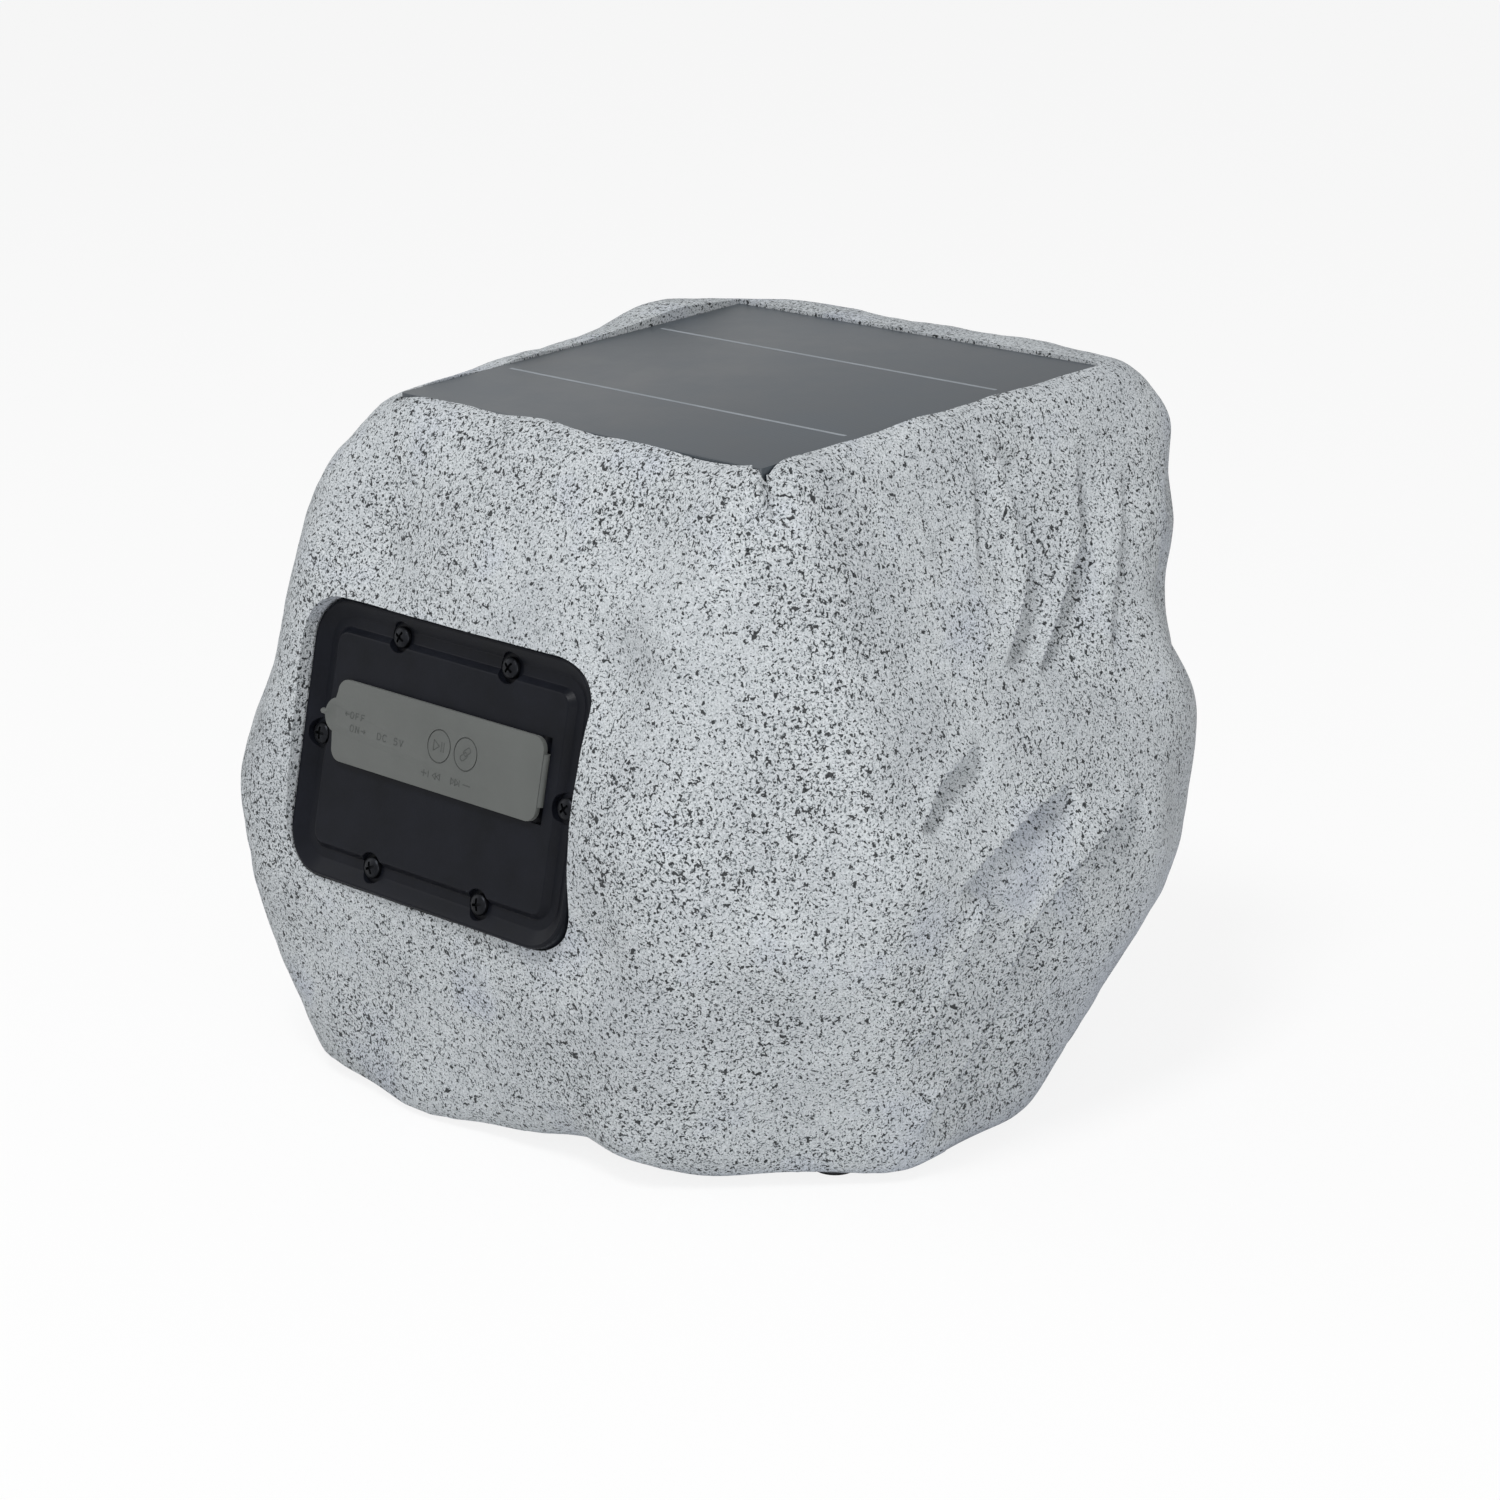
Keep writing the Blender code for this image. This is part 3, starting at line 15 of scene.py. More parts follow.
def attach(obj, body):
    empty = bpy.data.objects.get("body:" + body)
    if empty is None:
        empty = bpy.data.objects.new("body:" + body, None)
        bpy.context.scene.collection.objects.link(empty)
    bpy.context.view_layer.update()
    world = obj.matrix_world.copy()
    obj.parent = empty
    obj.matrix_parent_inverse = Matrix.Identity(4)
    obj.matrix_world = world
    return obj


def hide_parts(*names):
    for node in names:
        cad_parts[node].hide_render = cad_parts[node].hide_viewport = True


MM = 0.001
GAP = 0.3 * MM
FIT = 0.5 * MM
FAR = 40.0 * MM                # how far a cutting solid reaches past the surface
WELD = 0.000005                # points closer than this become one

# Boulder: facets and hollows as in the part's source, its folds finer and deeper
ORIGIN_SHIFT = Vector((-3.96, 3.0, 0.0)) * MM
ROCK_MIDDLE = Vector((0.0, 0.0, 95.0)) * MM
FACET_BLEND = 2.6 * MM
WALL = 6.5 * MM
FOLD_ROOM = 4.0 * MM           # the inner wall lies this much deeper, behind the finer folds
DEEP_HOLLOW = 5.0 * MM         # a deeper hollow bends the inner wall in with it
TOP_WALL = 13.0 * MM
UNDER_WALL = 11.0 * MM
LEDGE_THICK = 7.0 * MM
ROCK_LIFT = 1.5 * MM
OUTER_CUTS = (84, 146, 134)    # quads along X, Y and Z of the cube that becomes the outside
INNER_CUTS = (12, 12, 12)
LUMP_SIZE = 21.0 * MM          # soft unevenness left by the mould
LUMP_HEIGHT = 1.0 * MM
PIT_SIZE = 7.0 * MM
PIT_HEIGHT = 0.3 * MM
LEVEL_BELOW = 4.0 * MM         # no unevenness on the underside
SEARCH_FROM, SEARCH_TO, HALVINGS = 20.0 * MM, 240.0 * MM, 21   # for the surface, from the middle

# Solar panel
PANEL_WIDTH, PANEL_DEPTH, PANEL_THICK = 132.0 * MM, 130.0 * MM, 3.0 * MM
PANEL_CORNER = 1.2 * MM
PANEL_TILT = radians(3.0)
PANEL_TOP = 192.5 * MM
PANEL_SUNK = 1.2 * MM
PANEL_LEDGE = 18.0 * MM
TAPE_THICK = 1.0 * MM
NOTCH_RADIUS = 1.9 * MM
RIBBON_Y = 29.0 * MM           # the two pale ribbons between its cells
RIBBON_WIDTH = 1.1 * MM
RIBBON_ENDS = (-66.0 * MM + 4.5 * MM, 66.0 * MM - 4.0 * MM)

# Control plate
PLATE_WIDTH, PLATE_HEIGHT, PLATE_THICK = 107.0 * MM, 75.0 * MM, 5.0 * MM
PLATE_CORNER = 12.5 * MM
PLATE_LEAN = radians(11.8)
PLATE_MIDDLE = Vector((21.6, 94.1, 100.3)) * MM
PLATE_LEDGE = 11.5 * MM
BORDER_STEPS = (               # the border from the rim inwards: inset and level in millimetres
    (0.0, -0.1), (0.15, 0.35), (0.5, 0.6), (1.0, 0.6), (1.35, 0.45), (4.25, -1.5), (4.7, -1.7),
    (7.25, -1.7), (7.5, -1.6), (8.95, -0.08), (9.3, 0.0))
GASKET_THICK = 0.9 * MM
SCREW_PLACES = [(sx * 21.0 * MM, sy * 31.0 * MM) for sx in (-1, 1) for sy in (-1, 1)] + [
    (-47.6 * MM, 0.0), (47.6 * MM, 0.0)]
SEAT_RADIUS, SEAT_DEPTH = 4.2 * MM, 1.9 * MM
SCREW_SHANK, SCREW_HEAD, SCREW_HIGH, SCREW_BITE = 1.3 * MM, 2.9 * MM, 1.7 * MM, 4.5 * MM
POST_RADIUS = 2.6 * MM
BOARD_BEHIND = 11.0 * MM
BOARD_HOLES = [(sx * 34.0 * MM, sy * 18.0 * MM) for sx in (-1, 1) for sy in (-1, 1)]

# Port cover
COVER_WIDTH, COVER_HEIGHT, COVER_THICK = 80.4 * MM, 22.0 * MM, 1.4 * MM
COVER_CORNER = 3.6 * MM
COVER_RISE = 5.5 * MM
TAB_RADIUS = 4.6 * MM
BEAD_RADIUS = 1.5 * MM
KEYS_RISE = 1.0 * MM
KEY_RADIUS = 4.3 * MM
KEY_AT = (1.3 * MM, 11.5 * MM)
POCKET_WIDTH, POCKET_HEIGHT, POCKET_DEPTH = 68.0 * MM, 14.0 * MM, 7.0 * MM
POCKET_SHIFT = -2.4 * MM
POCKET_WALL = 1.5 * MM
SWITCH_AT, SOCKET_AT = -31.0 * MM, -17.5 * MM

# Loudspeaker
SPEAKER_FACE = Vector((-2.0, -104.0, 101.0)) * MM
SPEAKER_LEAN = radians(6.0)
GRILLE_RADIUS, GRILLE_THICK, GRILLE_SUNK = 55.0 * MM, 1.2 * MM, 5.6 * MM
RING_WIDTH, RING_HEIGHT = 6.0 * MM, 3.0 * MM
HOLE_PITCH, HOLE_RADIUS = 3.9 * MM, 1.25 * MM
DRIVER_RADIUS, DRIVER_SEAT, BASKET_MOUTH = 50.0 * MM, 17.0 * MM, 43.0 * MM

# Base
BASE_WIDTH, BASE_DEPTH, BASE_CORNER, BASE_THICK = 112.0 * MM, 122.0 * MM, 18.0 * MM, 3.0 * MM
BASE_LEDGE = 9.0 * MM
FOOT_RADIUS, FOOT_RECESS, FOOT_EDGE = 6.0 * MM, 1.5 * MM, 0.8 * MM
FOOT_PLACES = [(side * 71.0 * MM, y * MM) for y in (41.5, -31.0) for side in (-1, 1)]
PEG_RADIUS, PEG_LENGTH = 1.6 * MM, 4.0 * MM

# Camera, from the panel's corners and the plate in the photograph
CAMERA_AT = Vector((-675.22, 700.77, 389.02)) * MM
CAMERA_TURN, CAMERA_TILT = radians(223.87), radians(17.2)
CAMERA_LENS = 88.8

# Light
WORLD_LIGHT, KEY_WATTS, FILL_WATTS, BOUNCE_WATTS = 0.44, 19.0, 3.0, 5.6
SKY_SHEEN = 0.4                # how white the sky is in what shines
FLOOR_GLOW = 0.86              # the floor's share of pure white towards the camera

# Chisel facets: compass turn, tilt, distance in millimetres
FACETS = (
    (91, 10, 96.4), (91, -8, 104.5), (110, -64, 121.2), (126, -56, 130.9), (92, -62, 128.8),
    (48, 13, 130.0), (55, -10, 140.7), (60, -20, 141.5), (77, -48, 144.9),
    (137, -18, 117.2), (141, -66, 130.4),
    (178, -12, 109.8), (-169, -49, 133.9), (-172, -66, 122.6),
    (-143, -1, 115.3), (-153, -28, 118.4),
    (-90, 6, 104.0), (-88, -20, 110.0),
    (0, 8, 113.3), (4, -22, 118.4), (-42, 8, 126.0), (-45, -25, 130.0),
)
RIM_FACETS = (
    (90, 29, 4.7), (38, 43, 2.4), (134, 10, 4.6), (180, 20, 3.9), (-131, 43, 8.5),
    (-94, 75, 5.4), (-90, 45, 14.5), (14, 68, 3.6), (8, 48, 5.4), (-40, 50, 6.5),
)
HOLLOWS = (
    ((49, 88, 158), 12, 3.5), ((-40, 80, 172), 12, 4.5), ((-38, 88, 138), 9, 4.0),
    ((-40, 98, 66), 9, 3.0), ((-46, 96, 100), 12, -3.0), ((-86, -74, 105), 12, -8.3),
    ((-81, -81, 129), 14, 8.3), ((-83, -77, 75), 14, -5.1), ((-76, -89, 165), 9, 3.9),
    ((78, -41, 194), 13, -3.3), ((76, 60, 184), 5, -1.5), ((104, 89, 83), 12, -2.9),
    ((33, 90, 5), 12, -3.2), ((-21, 89, 6), 9, 2.9), ((-51, 71, 5), 11, -2.4),
    ((-89, 33, 6), 11, -1.3), ((-88, -14, 7), 11, -1.0), ((70, -60, 60), 26, 3.0),
    ((60, 70, 150), 16, 2.0), ((100, 10, 120), 22, 3.5), ((60, -95, 40), 20, 3.0),
)
# Folds from top to bottom: points, how far the groove runs out, depth. The surface rises a little
# up to a fold's edge, drops steeply on the side away from the control plate and climbs back
# gently.
FOLDS = (
    (((-77, -2, 180), (-80, 1, 168), (-85, 5, 154)), 6, 0.9),
    (((-75, -12, 184), (-78, -12, 173), (-82, -13, 165), (-86, -13, 153), (-90, -6, 143),
      (-93, 5, 131)), 9, 3.3),
    (((-77, -44, 180), (-81, -38, 165), (-85, -35, 155), (-87, -29, 148), (-91, -21, 140),
      (-95, -7, 126)), 8, 2.8),
    (((-79, -60, 172), (-84, -53, 156), (-88, -48, 146), (-95, -36, 126)), 9, 1.2),
    (((-98, 19, 117), (-100, 29, 114), (-101, 37, 111), (-104, 48, 100)), 6, 3.4),
    (((-104, -12, 102), (-106, 8, 97), (-107, 15, 95), (-108, 28, 90), (-108, 38, 82)), 7, 3.3),
    (((-108, 24, 82), (-105, 31, 66), (-103, 35, 59), (-102, 37, 53), (-99, 43, 38)), 7, 3.9),
    (((-106, -38, 95), (-109, -15, 85), (-108, -6, 79), (-107, 4, 71), (-105, 9, 64),
      (-104, 12, 56), (-101, 14, 42)), 10, 4.4),
    (((-102, 12, 50), (-99, 20, 36), (-98, 24, 30), (-97, 31, 25), (-95, 36, 12)), 8, 4.1),
    (((-62, 62, 203), (-67, 66, 190), (-73, 69, 176)), 3.5, 2.6),
    (((112, -34, 150), (116, -20, 104), (104, 4, 60)), 9, 3.5),
)
FOLD_GAIN = 1.7                # how much deeper they are than in the CAD model
EDGE_DROP = 1.5 * MM           # width of a fold's steep side
EDGE_LIP = 0.3                 # how much the edge stands up, as a share of the depth
LIP_REACH = 4.0 * MM
BACK_CURVE = 1.6               # how roundly the surface climbs back
FADE_IN, FADE_OUT = 0.14, 0.24   # shares of a fold's length


# Geometry helpers

def frame_at(place, outward):
    """A place on the boulder: local +X across its face, +Z out of it."""
    axis_z = outward.normalized()
    across = Vector((-1, 0, 0)) if outward.y > 0.5 else Vector((1, 0, 0))
    axis_y = axis_z.cross(across).normalized()
    turn = Matrix((axis_y.cross(axis_z), axis_y, axis_z)).transposed()
    return Matrix.Translation(place + ORIGIN_SHIFT) @ turn.to_4x4()


ORIGIN = Matrix.Translation(ORIGIN_SHIFT)
PANEL = frame_at(Vector((0, 0, PANEL_TOP)), Vector((0, sin(PANEL_TILT), cos(PANEL_TILT))))
PLATE = frame_at(PLATE_MIDDLE, Vector((0, cos(PLATE_LEAN), sin(PLATE_LEAN))))
SPEAKER = frame_at(SPEAKER_FACE, Vector((0, -cos(SPEAKER_LEAN), sin(SPEAKER_LEAN))))


def linked(thing):
    bpy.context.scene.collection.objects.link(thing)
    return thing


def from_bmesh(name, body):
    bmesh.ops.recalc_face_normals(body, faces=body.faces)
    mesh = bpy.data.meshes.new(name)
    body.to_mesh(mesh)
    body.free()
    return linked(bpy.data.objects.new(name, mesh))


def frozen(thing, name, welded=True):
    """Modifiers or a curve made into a plain mesh."""
    bpy.context.view_layer.update()
    graph = bpy.context.evaluated_depsgraph_get()
    mesh = bpy.data.meshes.new_from_object(thing.evaluated_get(graph))
    mesh.transform(thing.matrix_world)
    bpy.data.objects.remove(thing, do_unlink=True)
    body = bmesh.new()
    body.from_mesh(mesh)
    bpy.data.meshes.remove(mesh)
    if welded:
        bmesh.ops.remove_doubles(body, verts=body.verts, dist=WELD)
    return from_bmesh(name, body)


def placed(thing, matrix):
    thing.data.transform(matrix)
    return thing


def smooth(thing, sharp_above=35.0):
    thing.data.shade_smooth()
    thing.data.set_sharp_from_angle(angle=radians(sharp_above))
    return thing


def arc(middle, radius, start, end, steps):
    return [(middle[0] + radius * cos(start + (end - start) * i / steps),
             middle[1] + radius * sin(start + (end - start) * i / steps))
            for i in range(steps + 1)]


def circle(radius, middle=(0.0, 0.0), sides=32):
    return arc(middle, radius, 0.0, 2.0 * pi, sides)[:-1]


def rounded(width, height, corner, middle=(0.0, 0.0), steps=8):
    x, y = width / 2 - corner, height / 2 - corner
    points = []
    for quarter, (sx, sy) in enumerate(((1, 1), (-1, 1), (-1, -1), (1, -1))):
        points += arc((middle[0] + sx * x, middle[1] + sy * y), corner,
                      quarter * pi / 2, (quarter + 1) * pi / 2, steps)
    return points


def slab(name, loops, low, high):
    """A flat outline, its first loop cut by the others, between two levels."""
    curve = bpy.data.curves.new(name, "CURVE")
    curve.dimensions = "2D"
    curve.fill_mode = "BOTH"
    curve.extrude = (high - low) / 2
    for loop in loops:
        spline = curve.splines.new("POLY")
        spline.points.add(len(loop) - 1)
        for point, (x, y) in zip(spline.points, loop):
            point.co = (x, y, 0.0, 1.0)
        spline.use_cyclic_u = True
    drawn = linked(bpy.data.objects.new(name, curve))
    drawn.location = (0.0, 0.0, (high + low) / 2)
    return frozen(drawn, name)


def turned(name, profile, steps=32):
    """A profile of (radius, level) points turned about Z, down its outer side first."""
    mesh = bpy.data.meshes.new(name)
    edges = [(i, (i + 1) % len(profile)) for i in range(len(profile))]
    if max(profile[0][0], profile[-1][0]) < WELD:
        edges.pop()
    mesh.from_pydata([(r, 0.0, z) for r, z in profile], edges, [])
    made = linked(bpy.data.objects.new(name, mesh))
    screw = made.modifiers.new("turn", "SCREW")
    screw.steps = screw.render_steps = steps
    screw.use_merge_vertices = True
    screw.merge_threshold = WELD
    return frozen(made, name)


def gathered(name, solids):
    body = bmesh.new()
    for solid in solids:
        body.from_mesh(solid.data)
        bpy.data.objects.remove(solid, do_unlink=True)
    return from_bmesh(name, body)


def cut(thing, others=(), added=()):
    """Solids added, then others cut away, then the result as a plain mesh."""
    name = thing.name
    steps = [("UNION", other) for other in added] + [("DIFFERENCE", other) for other in others]
    for operation, other in steps:
        step = thing.modifiers.new(other.name, "BOOLEAN")
        step.operation, step.solver, step.object = operation, "MANIFOLD", other
    made = frozen(thing, name, welded=False)
    for _, other in steps:
        bpy.data.objects.remove(other, do_unlink=True)
    if len(made.data.vertices) < 8:
        raise RuntimeError("the cut left nothing of " + name)
    return made


def bevelled(thing, width, segments=2):
    edge = thing.modifiers.new("edge", "BEVEL")
    edge.width, edge.segments = width, segments
    edge.limit_method, edge.angle_limit = "ANGLE", radians(40.0)
    return frozen(thing, thing.name)


def stroke(name, paths, radius, matrix):
    """Round raised lines along flat paths."""
    curve = bpy.data.curves.new(name, "CURVE")
    curve.dimensions = "3D"
    curve.bevel_depth = radius
    curve.bevel_resolution = 1
    curve.use_fill_caps = True
    for points, closed in paths:
        spline = curve.splines.new("POLY")
        spline.points.add(len(points) - 1)
        for point, (x, y) in zip(spline.points, points):
            point.co = (x, y, 0.0, 1.0)
        spline.use_cyclic_u = closed
    return placed(frozen(linked(bpy.data.objects.new(name, curve)), name), matrix)


# Materials. A pattern's scale is one over its size, since the coordinates are in metres.

def colour(code):
    """An sRGB hex value as linear RGBA."""
    parts = [int(code[i:i + 2], 16) / 255 for i in (1, 3, 5)]
    return tuple(p / 12.92 if p <= 0.04045 else ((p + 0.055) / 1.055) ** 2.4
                 for p in parts) + (1.0,)


def per(size_mm):
    return 1.0 / (size_mm * MM)


def add(tree, kind, inputs=None, **settings):
    """A node of a kind, with its settings, and its inputs given as links or values."""
    made = tree.nodes.new(kind)
    for key, value in settings.items():
        setattr(made, key, value)
    for key, value in (inputs or {}).items():
        if isinstance(value, bpy.types.NodeSocket):
            tree.links.new(value, made.inputs[key])
        else:
            made.inputs[key].default_value = value
    return made


def blank(name, **sockets):
    """A new material with its shader's plain values set on the sockets."""
    made = bpy.data.materials.new(name)
    made.use_nodes = True
    shader = made.node_tree.nodes["Principled BSDF"]
    for key, value in sockets.items():
        shader.inputs[key.replace("_", " ")].default_value = value
    return made, made.node_tree, shader


def place_of(tree):
    return add(tree, "ShaderNodeTexCoord").outputs["Object"]


def ramp(tree, factor, stops):
    made = add(tree, "ShaderNodeValToRGB", {"Fac": factor})
    made.color_ramp.elements[0].position, made.color_ramp.elements[0].color = stops[0]
    made.color_ramp.elements[1].position, made.color_ramp.elements[1].color = stops[-1]
    for position, value in stops[1:-1]:
        made.color_ramp.elements.new(position).color = value
    return made.outputs["Color"]


def grey(value):
    return (value, value, value, 1.0)


def mixed(tree, factor, first, second, blend="MIX"):
    return add(tree, "ShaderNodeMix", {0: factor, 6: first, 7: second}, data_type="RGBA",
               blend_type=blend).outputs[2]


def calc(tree, operation, *values):
    return add(tree, "ShaderNodeMath", dict(enumerate(values)), operation=operation).outputs[0]


def mapped(tree, value, low, high, to_low=0.0, to_high=1.0):
    return add(tree, "ShaderNodeMapRange", {"Value": value, "From Min": low, "From Max": high,
                                            "To Min": to_low, "To Max": to_high}).outputs[0]


def noised(tree, place, size_mm, detail, roughness=0.5, distortion=0.0):
    """Noise from 0 to 1 with lumps about a size across."""
    return add(tree, "ShaderNodeTexNoise", {
        "Vector": place, "Scale": per(size_mm), "Detail": detail, "Roughness": roughness,
        "Distortion": distortion}).outputs["Fac"]


def bumped(tree, height, strength, depth_mm, over=None):
    """The normal of a relief, over the normal of another one if it is given."""
    inputs = {"Height": height, "Strength": strength, "Distance": depth_mm * MM}
    if over is not None:
        inputs["Normal"] = over
    return add(tree, "ShaderNodeBump", inputs).outputs["Normal"]


def worn(name, shade, light, patch_mm, grain_mm, roughness, bump_mm, **sockets):
    """A plain moulded or metal surface: cloudy shade in patches, fine grain in bump and gloss."""
    made, tree, shader = blank(name, **sockets)
    place = place_of(tree)
    patches = noised(tree, place, patch_mm, 4.0, 0.6)
    grain = noised(tree, place, grain_mm, 3.0, 0.65)
    tone = ramp(tree, patches, [(0.3, colour(shade)), (0.7, colour(light))])
    tree.links.new(tone, shader.inputs["Base Color"])
    low, high = roughness
    gloss = calc(tree, "ADD", calc(tree, "MULTIPLY", patches, 0.6),
                 calc(tree, "MULTIPLY", grain, 0.4))
    tree.links.new(mapped(tree, gloss, 0.3, 0.7, low, high), shader.inputs["Roughness"])
    tree.links.new(bumped(tree, grain, 0.8, bump_mm), shader.inputs["Normal"])
    return made


def crumbs(tree, place, size_mm, level, edge):
    """Ragged crumbs of paint: 1 where a noise stands above a level, 0 elsewhere."""
    field = noised(tree, place, size_mm, 1.5, 0.6, 0.3)
    return mapped(tree, calc(tree, "SUBTRACT", field, level), 0.0, edge)


def stone_paint():
    """Cast stone resin, sprayed: matt pale grey ground with black and grey crumbs thrown on it.

    The crumbs give the eye its granite, the fine grain its dry, sandy surface."""
    made, tree, shader = blank("cast_stone_fleck_paint", Roughness=0.86, Specular_IOR_Level=0.3)
    place = place_of(tree)
    # the spray lies denser in some patches, 40 mm or so across, than in others
    thin = mapped(tree, noised(tree, place, 42.0, 3.0), 0.36, 0.64, 0.02, -0.012)
    # the flanks that turn under get fewer crumbs, and their darker, bluish ground is painted shade
    facing = add(tree, "ShaderNodeTexCoord").outputs["Normal"]
    under = add(tree, "ShaderNodeVectorMath", {0: facing, 1: (-0.4, -0.34, -0.85)},
                operation="DOT_PRODUCT").outputs["Value"]
    thin_spray_and_shade = mapped(tree, under, 0.5, 0.8)
    thin = calc(tree, "ADD", thin, calc(tree, "MULTIPLY", thin_spray_and_shade, 0.035))
    # crumbs of three sizes: size in millimetres, level, and how soft their edge is
    large, middling, small = (
        crumbs(tree, place, size_mm, calc(tree, "ADD", thin, level), edge)
        for size_mm, level, edge in ((2.0, 0.67, 0.03), (1.1, 0.603, 0.025), (0.62, 0.56, 0.05)))
    # sand grain: drawn at 0.5 mm, as fine as the render shows
    sand = noised(tree, place, 0.5, 2.0, 0.7)
    ground = ramp(tree, noised(tree, place, 30.0, 4.0), [
        (0.32, colour("#C2C6CA")), (0.55, colour("#CDD1D4")), (0.72, colour("#C5CAD3"))])
    # painted shade: the flanks that turn under are drawn darker and bluish
    ground = mixed(tree, calc(tree, "MULTIPLY", thin_spray_and_shade, 0.6), ground, colour("#B4BAC6"))
    sandy = mixed(tree, mapped(tree, sand, 0.34, 0.66), colour("#9CA2A4"), colour("#FFFFFF"))
    ground = mixed(tree, 0.6, ground, mixed(tree, 1.0, ground, sandy, "MULTIPLY"))
    ground = mixed(tree, calc(tree, "MULTIPLY", small, 0.8), ground, colour("#3E4548"))
    dark = calc(tree, "MAXIMUM", large, middling)
    painted = mixed(tree, calc(tree, "MULTIPLY", dark, 0.94), ground, colour("#121518"))
    tree.links.new(painted, shader.inputs["Base Color"])
    tree.links.new(mapped(tree, dark, 0.0, 1.0, 0.9, 0.62), shader.inputs["Roughness"])
    fine = bumped(tree, sand, 0.6, 0.2)
    tree.links.new(bumped(tree, dark, 0.5, 0.12, fine), shader.inputs["Normal"])
    return made


def solar_glass():
    """Dark silicon cells under matt laminate: the film spreads the sky into an even grey sheen."""
    made, tree, shader = blank("laminated_solar_cell", Roughness=0.42, IOR=1.5,
                               Specular_IOR_Level=0.5, Coat_Weight=0.3, Coat_Roughness=0.4)
    place = place_of(tree)
    cloud = noised(tree, place, 30.0, 5.0, 0.6)
    cell = ramp(tree, cloud, [(0.3, colour("#2E353B")), (0.7, colour("#3B434A"))])
    # hair fine conductors across the cells, 1.2 mm apart: a wave repeats every 0.314 of its scale
    fingers = add(tree, "ShaderNodeTexWave", {"Vector": place, "Scale": per(3.8),
                                              "Distortion": 0.0}, bands_direction="X")
    line = mapped(tree, fingers.outputs["Fac"], 0.9, 1.0, 0.0, 0.1)
    tree.links.new(mixed(tree, line, cell, colour("#7D858C")), shader.inputs["Base Color"])
    tree.links.new(mapped(tree, cloud, 0.3, 0.7, 0.38, 0.5), shader.inputs["Roughness"])
    film = noised(tree, place, 1.2, 2.0)
    tree.links.new(bumped(tree, film, 0.25, 0.03), shader.inputs["Normal"])
    return made


def make_finishes():
    return {
        "cast_stone_resin": stone_paint(),
        "panel_laminate": solar_glass(),
        # black ABS, spark eroded mould: satin, faintly blue where the light grazes it
        "black_abs": worn("black_abs_satin", "#0F1116", "#15171E", 14.0, 0.5, (0.34, 0.46), 0.03,
                          Specular_IOR_Level=0.11),
        # silicone rubber, moulded and dusty: soft, without a highlight
        "grey_silicone": worn("grey_silicone_moulded", "#4D504E", "#555856", 18.0, 0.45,
                              (0.6, 0.72), 0.03, Sheen_Weight=0.12, Sheen_Roughness=0.5),
        # closed cell foam: dull black with open pores
        "foam_tape": worn("black_foam_tape", "#1C1C1C", "#2B2B2B", 3.0, 0.5, (0.9, 1.0), 0.2),
        # blackened steel: dark and oily
        "black_steel": worn("blackened_steel", "#15161A", "#26282C", 5.0, 0.35, (0.34, 0.5), 0.02,
                            Metallic=0.85),
        # zinc plated steel: grey with faint spangle
        "zinc_steel": worn("zinc_plated_steel", "#A9ACAE", "#C6C8C8", 3.0, 0.4, (0.28, 0.45),
                           0.01, Metallic=1.0),
        # polyamide: milky, slightly glossy
        "white_nylon": worn("white_polyamide", "#D9D8D0", "#E8E7E0", 4.0, 0.4, (0.38, 0.5), 0.02,
                            Subsurface_Weight=0.1, Subsurface_Scale=0.001),
        # glass fibre board under solder mask: green and glossy
        "green_laminate": worn("solder_masked_board", "#12402A", "#1B5236", 6.0, 0.6, (0.3, 0.42),
                               0.02),
        # shrink sleeve round the cells: blue film, glossy
        "cell_wrap": worn("blue_shrink_sleeve", "#1D4F8C", "#2A63A6", 12.0, 0.8, (0.28, 0.4),
                          0.02),
        # sintered ferrite: matt charcoal with sparkle
        "ferrite": worn("sintered_ferrite", "#2E2E2F", "#424243", 2.0, 0.35, (0.6, 0.8), 0.05,
                        Specular_IOR_Level=0.6),
        # pressed paper pulp, dyed: fibrous and dull
        "pulp_paper": worn("black_paper_pulp", "#1F1F20", "#343434", 1.6, 0.4, (0.85, 0.98), 0.12,
                           Sheen_Weight=0.2),
        # nitrile rubber: deep black, barely shiny
        "rubber": worn("black_nitrile_rubber", "#17181A", "#232426", 7.0, 0.5, (0.68, 0.82),
                       0.05),
        # resin stiffened cotton: straw coloured and matt
        "treated_cloth": worn("resin_stiffened_cotton", "#B88A45", "#CFA25C", 2.0, 0.5,
                              (0.8, 0.95), 0.15),
        # enamelled copper wire: warm and lacquered
        "copper": worn("enamelled_copper", "#A65A33", "#C4744A", 1.5, 0.3, (0.3, 0.42), 0.04,
                       Metallic=1.0, Coat_Weight=0.4),
    }


def dressed(thing, finish_name, sharp_above=35.0):
    thing.data.materials.clear()
    thing.data.materials.append(FINISHES[finish_name])
    return smooth(thing, sharp_above)


def stands_for(thing, body, finish_name, *nodes, sharp_above=35.0):
    """The piece gets its finish, rides on its body and takes the place of CAD nodes."""
    dressed(thing, finish_name, sharp_above)
    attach(thing, body)
    if nodes:
        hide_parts(*nodes)
    return thing


# The boulder

def unit(turn, tilt):
    a, e = radians(turn), radians(tilt)
    return np.array((cos(a) * cos(e), sin(a) * cos(e), sin(e)))


